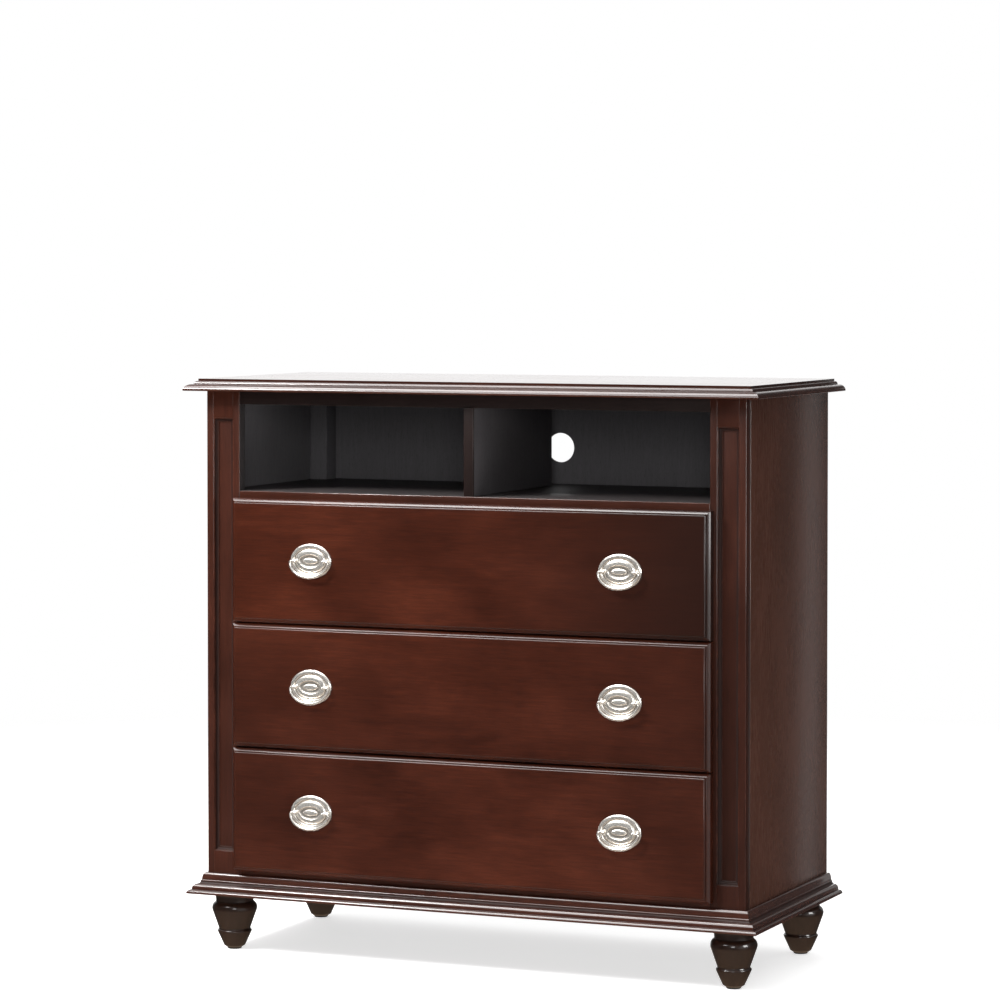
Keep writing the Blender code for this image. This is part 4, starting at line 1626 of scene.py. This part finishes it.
@dataclass
class MediaBays:
    """The compartment over the drawers: shelf, divider and back panel with its cable hole."""

    case: Carcase
    arris: float = 0.0009
    stain_depth: float = 0.0035
    divider_share: float = 0.55
    hole_radius: float = 0.0265
    hole_height: float = 0.0655
    hole_segments: int = 96
    hole_ease: float = 0.0008
    brad_inset: float = 0.012
    brad_spacing: float = 0.105
    brad_seed: int = 4
    shelf_drop: float = 0.010
    shelf_inset: float = 0.06
    brad: Fixing = Fixing(
        STEEL, "nickel", ((10, ((-0.0004, 0.0), (-0.0004, 0.0016), (0.0004, 0.00128), (0.0006, 0.0))),)
    )

    def build(self, bench: Bench) -> None:
        """Makes and dresses the compartment.

        Args:
            bench: where the pieces are made.
        """
        shelf = bench.dress(FRAME_WOOD, Grain.ACROSS, Lining("shelf", self._inside))
        bench.board("media_shelf", shelf, "case", "inner_wood", self.arris)
        # The divider takes only part of the grey lining, so less painted light than the other faces in the
        # bays.
        lining = Lining("divider", lambda at: self._inside(at) * self.divider_share)
        divider = bench.dress(INNER_WOOD, Grain.UPRIGHT, lining)
        bench.board("media_divider", divider, "case", "inner_wood", self.arris)
        self._back(bench)
        self._brads(bench)

    def _inside(self, at: dict[str, Value]) -> Value:
        """The share of a point that lies behind the front edges."""
        return self.case.within(at, self.case.y_post + self.stain_depth)

    def _back(self, bench: Bench) -> None:
        """The back panel, with a smooth round hole.

        Args:
            bench: where the piece is made.
        """
        low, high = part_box("back_panel")
        centre = Vector((0.0, 0.0, self.case.z_shelf + self.hole_height))
        profile = [(1.0, low.y), (0.0, low.y), (0.0, high.y), (1.0, high.y)]
        section = eased(profile, self.hole_ease, closed=False, convex=-1)
        rings = []
        for i in range(self.hole_segments):
            a = FULL_TURN * i / self.hole_segments
            ray = Vector((math.cos(a), 0.0, math.sin(a)))
            reach = self._reach(ray, centre, low, high)
            near = centre + ray * self.hole_radius
            ring = []
            for spread, y in section.points:
                # A spread of 1 stands for the panel's edge, a small one for the rounding of the hole
                flat = centre + ray * reach if spread > 0.5 else near + ray * spread
                ring.append((flat.x, y, flat.z))
            rings.append(ring)
        self._square(rings, low, high)
        panel = skin(rings, closed=True, around=section.edges)
        finish = bench.dress(INNER_WOOD, Grain.UPRIGHT, Lining("bay", self._inside))
        bench.piece("back_board", panel, finish, "case", ["back_panel"])

    @staticmethod
    def _reach(ray: Vector, centre: Vector, low: Vector, high: Vector) -> float:
        """How far a ray from the hole's centre runs to the panel's edge.

        Args:
            ray: its direction.
            centre: the hole's centre.
            low: the panel's lowest corner.
            high: its highest corner.

        Returns:
            The length.
        """
        spans = []
        for axis in (0, 2):
            if abs(ray[axis]) > TINY:
                limit = high[axis] if ray[axis] > 0 else low[axis]
                spans.append((limit - centre[axis]) / ray[axis])
        return min(spans)

    @staticmethod
    def _square(rings: list[list[Place]], low: Vector, high: Vector) -> None:
        """Moves the ring nearest to each corner of the panel onto that corner.

        Args:
            rings: the panel's rings, which are changed.
            low: the panel's lowest corner.
            high: its highest corner.
        """
        for x in (low.x, high.x):
            for z in (low.z, high.z):
                nearest = min(rings, key=lambda ring: math.hypot(ring[0][0] - x, ring[0][2] - z))
                nearest[0] = (x, nearest[0][1], z)
                nearest[-1] = (x, nearest[-1][1], z)

    def _brads(self, bench: Bench) -> None:
        """Brads up both edges of the back panel and along the shelf.

        Args:
            bench: where the piece is made.
        """
        low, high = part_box("back_panel")
        x, y = high.x - self.brad_inset, high.y
        z = (low.z + self.brad_inset, high.z - self.brad_inset)
        shelf, run = self.case.z_shelf - self.shelf_drop, x - self.shelf_inset
        paths = [[(s.value * x, y, z[0]), (s.value * x, y, z[1])] for s in Side]
        paths.append([(-run, y, shelf), (run, y, shelf)])
        bench.fixed("back_brads", self.brad, paths, self.brad_spacing, "case", seed=self.brad_seed)


@dataclass
class Drawer:
    """A drawer: its lipped front, box and bumpers."""

    level: Level
    shoulder: float = 0.0035
    quirk: float = 0.0008
    ovolo: float = 0.0057
    ovolo_steps: int = 10
    flatness: float = 1.18
    margin: float = 0.004
    thickness: float = 0.022
    tongue: float = 0.012
    seat: float = 0.0003
    ease: float = 0.0004
    polish: float = 0.58
    arris: float = 0.0006
    # Where the top drawer's front darkens toward its right end as painted shade, and where the others
    # darken toward both ends
    dark_end: Point = (0.0, 0.45)
    dark_ends: Point = (0.10, 0.60)
    dark_ends_share: float = 0.5
    bumper: Fixing = Fixing(
        FELT,
        "box_wood",
        ((14, ((-0.0002, 0.0), (-0.0002, 0.0024), (0.0008, 0.0024), (0.0010, 0.00204), (0.0010, 0.0))),),
    )
    bumper_inset: Point = (0.0034, 0.020)
    brad: Fixing = Fixing(
        STEEL, "box_wood", ((10, ((-0.0004, 0.0), (-0.0004, 0.0014), (0.0002, 0.0012), (0.0004, 0.0))),)
    )
    brad_inset: float = 0.02
    brad_gaps: int = 3

    @property
    def body(self) -> str:
        """The body that the drawer is."""
        return f"drawer_{self.level.value}"

    def section(self) -> list[Point]:
        """Inset from the front's edge and depth behind its face, along the moulded edge.

        Returns:
            The points.
        """
        inset = self.shoulder + self.quirk + self.ovolo
        depth = self.shoulder + self.quirk
        radii = (self.ovolo, self.ovolo)
        return [
            (inset + self.margin, 0.0),
            *arc((inset, self.shoulder), (self.shoulder, self.shoulder), -90, -180),
            (self.quirk + self.ovolo, depth),
            *arc((self.ovolo, depth + self.ovolo), radii, -90, -180, self.ovolo_steps, self.flatness),
            (0.0, self.thickness),
        ]

    def build(self, bench: Bench) -> None:
        """Makes and dresses the drawer.

        Args:
            bench: where the pieces are made.
        """
        self._front(bench)
        self._box(bench)
        self._bumpers(bench)

    def _front(self, bench: Bench) -> None:
        """The front with its moulded edge, and the tongue behind it.

        Args:
            bench: where the piece is made.
        """
        node = f"{self.body}_front"
        low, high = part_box(node)
        side_low, side_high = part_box(f"{self.body}_side_right")
        inner = side_low.x - self.seat
        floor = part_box(f"{self.body}_bottom")[1].z + self.seat
        x, z = (low.x, high.x), (low.z, high.z)
        section = eased(self.section(), self.ease, closed=False, convex=-1, curves=self.polish)
        rings = [rectangle(x, z, low.y + depth, inset) for inset, depth in section.points]
        back = low.y + self.thickness
        for y in (back, back + self.tongue):
            rings.append(rectangle((-inner, inner), (floor, side_high.z), y))
        mesh = skin(rings, along=[*section.edges[:-1], 0.0, 0.0])
        finish = bench.dress(FRONT_WOOD, Grain.ACROSS, self.tone())
        bench.piece(f"{node}_panel", mesh, finish, self.body, [node])

    def tone(self) -> Lining:
        """The darker end or ends of the front: painted shade toward the top drawer's right end, a darker
        tone toward both ends of the others.

        Returns:
            The darker lining.
        """
        if self.level is Level.TOP:
            return Lining("dark_end", lambda at: at["x"].eased(*self.dark_end), 0.0)
        share = self.dark_ends_share
        return Lining("dark_ends", lambda at: abs(at["x"]).eased(*self.dark_ends) * share, 0.0)

    def _box(self, bench: Bench) -> None:
        """The four boards of the box, and the brads that hold its back.

        Args:
            bench: where the pieces are made.
        """
        grains = {Grain.DEEP: ("side_left", "side_right"), Grain.ACROSS: ("back", "bottom")}
        for grain, parts in grains.items():
            for part in parts:
                finish = bench.dress(BOX_WOOD, grain)
                bench.board(f"{self.body}_{part}", finish, self.body, "box_wood", self.arris)
        low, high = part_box(f"{self.body}_back")
        y = (low.y + high.y) / 2
        z = (low.z + self.brad_inset, high.z - self.brad_inset)
        for s in Side:
            x = s.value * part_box(f"{self.body}_side_right")[1].x
            path = [[(x, y, z[0]), (x, y, z[1])]]
            spacing = (high.z - low.z - 2 * self.brad_inset) / self.brad_gaps
            name = f"{self.body}_brads_{s.word}"
            bench.fixed(name, self.brad, path, spacing, self.body, axis=(s.value, 0.0, 0.0))

    def _bumpers(self, bench: Bench) -> None:
        """Felt dots on the back of the front, where it meets the posts.

        Args:
            bench: where the piece is made.
        """
        low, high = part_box(f"{self.body}_front")
        back = low.y + self.thickness
        x = high.x - self.bumper_inset[0]
        z = (low.z + self.bumper_inset[1], high.z - self.bumper_inset[1])
        paths = [[(s.value * x, back, z[0]), (s.value * x, back, z[1])] for s in Side]
        bench.fixed(f"{self.body}_bumpers", self.bumper, paths, z[1] - z[0], self.body)


@dataclass
class Pull:
    """A cast oval plate with two bored ball posts, and the bail that swings from them."""

    level: Level
    side: Side
    half: Point = (0.039, 0.030)
    edge: float = 0.0014
    rim_crest: float = 0.0040
    rim_width: float = 0.0085
    rim_height: float = 0.0042
    groove: float = 0.0020
    dome: Point = (0.0095, 0.0060)
    dish: Point = (0.0065, 0.0020)
    eye: Point = (0.0035, 0.0022)
    rim_steps: int = 10
    fall_steps: int = 9
    rise_steps: int = 14
    rise_fade: int = 5
    sink_steps: int = 9
    eye_steps: int = 8
    eye_fade: int = 3
    segments: int = 96
    seat: float = 0.0003
    pivot_height: float = 0.0105
    pivot_span: float = 0.0295
    ball: float = 0.0037
    ball_steps: int = 14
    bore: float = 0.0018
    stem: float = 0.0038
    stem_land: float = 0.0012
    stem_waist: float = 0.80
    stem_neck: Point = (0.74, 0.55)
    stem_hollow: tuple[float, ...] = (0.0, 0.6, 0.6, 0.3, 0.2, 0.0)
    post_sides: int = 28
    pin: float = 0.0015
    pin_reach: float = 0.0042
    pin_gap: float = 0.0008
    bail_half: float = 0.036
    bail_drop: float = 0.028
    bail_corner: float = 0.003
    bail_end: float = 0.0018
    bail_grip: float = 0.0027
    bail_sides: int = 20
    bend_steps: int = 8
    grip_steps: int = 60
    nut: Fixing = Fixing(
        STEEL,
        "nickel",
        (
            (12, ((-0.0002, 0.0), (-0.0002, 0.0062), (0.0010, 0.0059), (0.0010, 0.0))),
            (6, ((0.0009, 0.0), (0.0009, 0.0042), (0.0040, 0.0040), (0.0040, 0.0))),
            (8, ((0.0038, 0.0), (0.0038, 0.0020), (0.0064, 0.0017), (0.0064, 0.0))),
        ),
    )

    @property
    def word(self) -> str:
        """The pull's place in node names."""
        return f"{self.level.value}_{self.side.word}"

    @property
    def drawer(self) -> str:
        """The body that carries the plate."""
        return f"drawer_{self.level.value}"

    def plate_section(self) -> list[Place]:
        """The plate's section, from its edge to the middle.

        Returns:
            Inset from the edge, height above the drawer and how sunk it is, at each point.
        """
        crest = self.rim_width + self.dome[0]
        dish = crest + self.dish[0]
        low = self.dome[1] - self.dish[1]
        outer = (self.rim_crest, self.rim_height - self.edge)
        inner = (self.rim_width - self.rim_crest, self.rim_height - self.groove)
        swell = (self.dome[0], self.dome[1] - self.groove)
        rim = arc((self.rim_crest, self.edge), outer, 180, 90, self.rim_steps)
        fall = arc((self.rim_crest, self.groove), inner, 90, 0, self.fall_steps)[1:]
        rise = arc((crest, self.groove), swell, 180, 90, self.rise_steps)[1:]
        sink = arc((dish, self.dome[1]), self.dish, 180, 270, self.sink_steps)[1:]
        lift = arc((dish + self.eye[0], low), self.eye, 180, 90, self.eye_steps)[1:]
        points = [(*p, 0.0) for p in [(0.0, self.seat), *rim]]
        points += [(*p, i / (self.fall_steps - 1)) for i, p in enumerate(fall)]
        points += [(*p, max(0.0, 1.0 - i / self.rise_fade)) for i, p in enumerate(rise)]
        points += [(*p, i / (self.sink_steps - 1)) for i, p in enumerate(sink)]
        points += [(*p, max(0.0, 1.0 - i / self.eye_fade)) for i, p in enumerate(lift)]
        return points

    def build(self, bench: Bench) -> None:
        """Makes and dresses the plate, the bail and the nuts.

        Args:
            bench: where the pieces are made.
        """
        low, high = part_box(f"pull_plate_{self.word}")
        centre = Vector(((low.x + high.x) / 2, high.y + self.seat, (low.z + high.z) / 2))
        self._plate(bench, centre)
        self._bail(bench, centre)
        self._nuts(bench, centre)

    def _plate(self, bench: Bench, centre: Vector) -> None:
        """The plate with its ball posts.

        Args:
            bench: where the piece is made.
            centre: the middle of its back.
        """
        section = self.plate_section()
        last = section[-1]
        rings = [(0.0, 0.0, self.seat), *((inset, 1.0, height) for inset, height, _ in section)]
        rings.append((last[0], 0.0, last[1]))
        hollow = [0.0, *(sunk for _, _, sunk in section), last[2]]
        nickel = bench.dress(NICKEL)
        plate = bench.rings.form(rings, hollow, self.half, self.segments, nickel)
        whole = join([plate, *(self._post(bench, s.value) for s in Side)])
        facing = Matrix.Translation(centre) @ Matrix.Rotation(math.radians(90), 4, "X")
        bmesh.ops.transform(whole, matrix=facing, verts=whole.verts)
        node = f"pull_plate_{self.word}"
        bench.piece(f"{node}_casting", whole, nickel, self.drawer, [node])

    def _post(self, bench: Bench, sign: int) -> BMesh:
        """A stem and a bored ball on the plate, to one side of its middle.

        Args:
            bench: where it is made.
            sign: -1 to the left, 1 to the right.

        Returns:
            The mesh.
        """
        lip = math.degrees(math.asin(self.bore / self.ball))
        ring = arc((0.0, 0.0), (self.ball, self.ball), lip, 180 - lip, self.ball_steps)
        ball = turned([(rho, u) for u, rho in ring], self.post_sides)
        bmesh.ops.rotate(ball, verts=ball.verts, matrix=Matrix.Rotation(math.radians(90), 3, "Y"))
        bmesh.ops.translate(ball, verts=ball.verts, vec=(sign * self.pivot_span, 0.0, self.pivot_height))
        foot, neck = self.groove / 2, self.pivot_height - self.ball * self.stem_neck[1]
        points = [
            (0.0, foot),
            (self.stem, foot),
            (self.stem, foot + self.stem_land),
            (self.stem * self.stem_waist, foot + 2 * self.stem_land),
            (self.ball * self.stem_neck[0], neck),
            (0.0, neck),
        ]
        rings = [(self.stem - r, 1.0, h) for r, h in points]
        half = (self.stem, self.stem)
        stem = bench.rings.form(rings, self.stem_hollow, half, self.post_sides, bench.dress(NICKEL))
        bmesh.ops.translate(stem, verts=stem.verts, vec=(sign * self.pivot_span, 0.0, 0.0))
        return join([ball, stem])

    def _bail(self, bench: Bench, centre: Vector) -> None:
        """The bail as it hangs.

        Args:
            bench: where the piece is made.
            centre: the middle of the plate's back.
        """
        pin = self.pivot_span - self.pin_reach
        corner = self.bail_half - self.bail_corner
        radii = (self.bail_corner, self.bail_corner)
        bend = arc((corner, -self.bail_corner), radii, 90, 0, self.bend_steps)
        swelling = (self.bail_end - self.pin) / self.bend_steps
        ends = [((u, 0.0), self.pin) for u in (pin, pin + self.pin_reach, corner - self.pin_gap)]
        ends += [(p, self.pin + swelling * i) for i, p in enumerate(bend[:-1])]
        radii = (self.bail_half, self.bail_drop - self.bail_corner)
        sweep = arc((0.0, -self.bail_corner), radii, 0, -180, self.grip_steps)
        fuller = self.bail_grip - self.bail_end
        grip = [
            (p, self.bail_end + fuller * math.sin(math.pi * i / self.grip_steps) ** 2)
            for i, p in enumerate(sweep)
        ]
        path = ends + grip + [((-u, v), r) for (u, v), r in reversed(ends)]
        pivot = centre + Vector((0.0, -self.pivot_height, 0.0))
        places = [(pivot.x + u, pivot.y, pivot.z + v) for (u, v), _ in path]
        guide = path_object([places], [r for _, r in path])
        finish = bench.dress(NICKEL)
        mesh = bench.bars.shape(Path=guide, Sides=self.bail_sides, Finish=finish)
        bpy.data.objects.remove(guide)
        node = f"pull_bail_{self.word}"
        bench.piece(f"{node}_bar", mesh, finish, f"bail_{self.word}", [node])

    def _nuts(self, bench: Bench, centre: Vector) -> None:
        """A washer, a nut and the end of a stud behind the drawer front, for each post.

        Args:
            bench: where the piece is made.
            centre: the middle of the plate's back.
        """
        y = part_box(f"{self.drawer}_front")[1].y
        path = [(centre.x + s.value * self.pivot_span, y, centre.z) for s in Side]
        bench.fixed(f"pull_nuts_{self.word}", self.nut, [path], 2 * self.pivot_span, self.drawer)


# Studio


@dataclass(frozen=True)
class Softbox:
    """A soft square light that faces a point."""

    name: str
    place: Place
    aim: Place
    size: Point
    power: float
    sheen_only: bool = False

    def build(self) -> None:
        """Hangs the light."""
        data = bpy.data.lights.new(self.name, "AREA")
        data.shape = "RECTANGLE"
        data.size, data.size_y = self.size
        data.energy = self.power
        light = in_scene(self.name, data)
        light.location = self.place
        light.rotation_euler = (Vector(self.aim) - Vector(self.place)).to_track_quat("-Z", "Y").to_euler()
        light.visible_camera = False
        light.visible_diffuse = not self.sheen_only


@dataclass(frozen=True)
class Glow:
    """A soft glow of the backdrop: the way to it, where it begins and is full, and how strong it is."""

    toward: Place
    begins: float
    full: float
    strength: float


@dataclass
class Studio:
    """A pale floor, soft light and the camera."""

    camera_place: Place = (2.5738, -6.0390, 1.2097)
    camera_yaw: float = 23.297
    camera_pitch: float = 1.776
    lens: float = 134.993
    sensor: float = 36.0
    shift: float = -0.12
    reach: float = 200.0
    floor_radius: float = 3.6
    floor_fade: float = 1.5
    floor_sides: int = 96
    floor_tones: tuple[Colour, Colour] = ((0.90, 0.90, 0.90), (0.94, 0.94, 0.94))
    floor_glow: float = 0.70
    ambient: float = 0.05
    warm: tuple[float, Colour] = (0.22, (0.62, 0.46, 0.32))
    white_from: float = 0.44
    glows: tuple[Glow, ...] = (
        Glow((-0.50, 0.86, 0.08), 0.84, 0.97, 1.20),
        Glow((0.92, -0.39, 0.0), 0.80, 0.97, 0.46),
        Glow((0.0, 0.0, 1.0), 0.35, 0.85, 0.9),
        Glow((0.0, 0.0, -1.0), 0.35, 0.80, 0.6),
    )
    lights: tuple[Softbox, ...] = (
        Softbox("overhead", (-1.4, -1.3, 3.0), (-1.2, -1.0, 0.0), (2.4, 2.0), 76.0),
        Softbox("sheen", (-0.525, -0.6, 2.9), (-0.525, -0.45, 0.0), (1.95, 1.3), 81.0, True),
        Softbox("key", (-1.9, -2.2, 2.9), (0.0, -0.2, 0.5), (0.6, 0.6), 80.0),
        Softbox("front_sheen", (-1.3, -3.4, 3.1), (0.2, 0.0, 0.2), (1.3, 1.3), 46.0, True),
        Softbox("right_sheen", (3.0, -0.6, 1.0), (0.4, -0.1, 0.1), (1.0, 1.0), 40.0, True),
        Softbox("camera_fill", (1.8, -4.8, 1.4), (0.0, 0.0, 0.75), (1.5, 1.5), 40.0),
        Softbox("rear_strip", (0.545, 0.34, 0.55), (0.49, 0.19, 0.55), (0.04, 0.95), 0.045),
    )

    def build(self) -> None:
        """Sets up the studio."""
        self._floor()
        self._backdrop()
        for light in self.lights:
            light.build()
        self._camera()
        bpy.context.scene.view_settings.view_transform = "Standard"

    def _floor(self) -> None:
        """A plain pale floor."""
        mesh = bmesh.new()
        bmesh.ops.create_circle(mesh, cap_ends=True, segments=self.floor_sides, radius=self.floor_radius)
        data = mesh_data("floor", mesh)
        desk = FinishDesk("floor")
        colour = desk.mix(desk.noise(desk.point, 0.6), *self.floor_tones)
        span = desk.value("ShaderNodeVectorMath", {0: desk.point}, "Value", operation="LENGTH")
        finish = desk.surface(
            Base_Color=colour,
            Roughness=0.9,
            Specular_IOR_Level=0.1,
            Alpha=1.0 - span.eased(self.floor_fade, self.floor_radius),
            Emission_Color=colour,
            Emission_Strength=self.floor_glow,
        )
        data.materials.append(finish)
        floor = in_scene("floor", data)
        floor.visible_glossy = False

    def _backdrop(self) -> None:
        """White round the object, with soft glows that its polish mirrors and a warmer tint below."""
        world = bpy.data.worlds.new("studio")
        bpy.context.scene.world = world
        world.use_nodes = True
        desk = Desk(world.node_tree)
        way = desk.node("ShaderNodeTexCoord").outputs["Generated"]
        light = self.ambient
        for glow in self.glows:
            sockets = {0: way, 1: glow.toward}
            facing = desk.value("ShaderNodeVectorMath", sockets, "Value", operation="DOT_PRODUCT")
            light = facing.eased(glow.begins, glow.full) * glow.strength + light
        seen = desk.value("ShaderNodeLightPath", None, "Is Camera Ray")
        height = desk.parts(way)["z"] * 0.5 + 0.5
        tint = desk.node("ShaderNodeValToRGB", {"Fac": height}, stops=[self.warm, (self.white_from, WHITE)])
        sockets = {"Color": tint, "Strength": seen + (1.0 - seen) * light}
        sky = desk.node("ShaderNodeBackground", sockets)
        desk.node("ShaderNodeOutputWorld", {"Surface": sky})

    def _camera(self) -> None:
        """The camera at the photograph's angle."""
        data = bpy.data.cameras.new("camera")
        data.lens = self.lens
        data.sensor_width = self.sensor
        data.shift_y = self.shift
        data.clip_end = self.reach
        camera = in_scene("camera", data)
        camera.location = self.camera_place
        camera.rotation_euler = (math.radians(90 - self.camera_pitch), 0.0, math.radians(self.camera_yaw))
        bpy.context.scene.camera = camera


def main() -> None:
    """Builds and dresses the chest, from the floor up, and sets up the studio."""
    logging.basicConfig(level=logging.INFO, format="%(name)s: %(message)s")
    bench = Bench()
    case = Carcase()
    TurnedFeet().build(bench)
    MouldedBase(case).build(bench)
    for side in Side:
        FrontPost(side).build(bench)
    CaseBoards(case).build(bench)
    MediaBays(case).build(bench)
    for level in Level:
        Drawer(level).build(bench)
        for side in Side:
            Pull(level, side).build(bench)
    MouldedTop(case).build(bench)
    Studio().build()


if __name__ == "__main__":
    main()
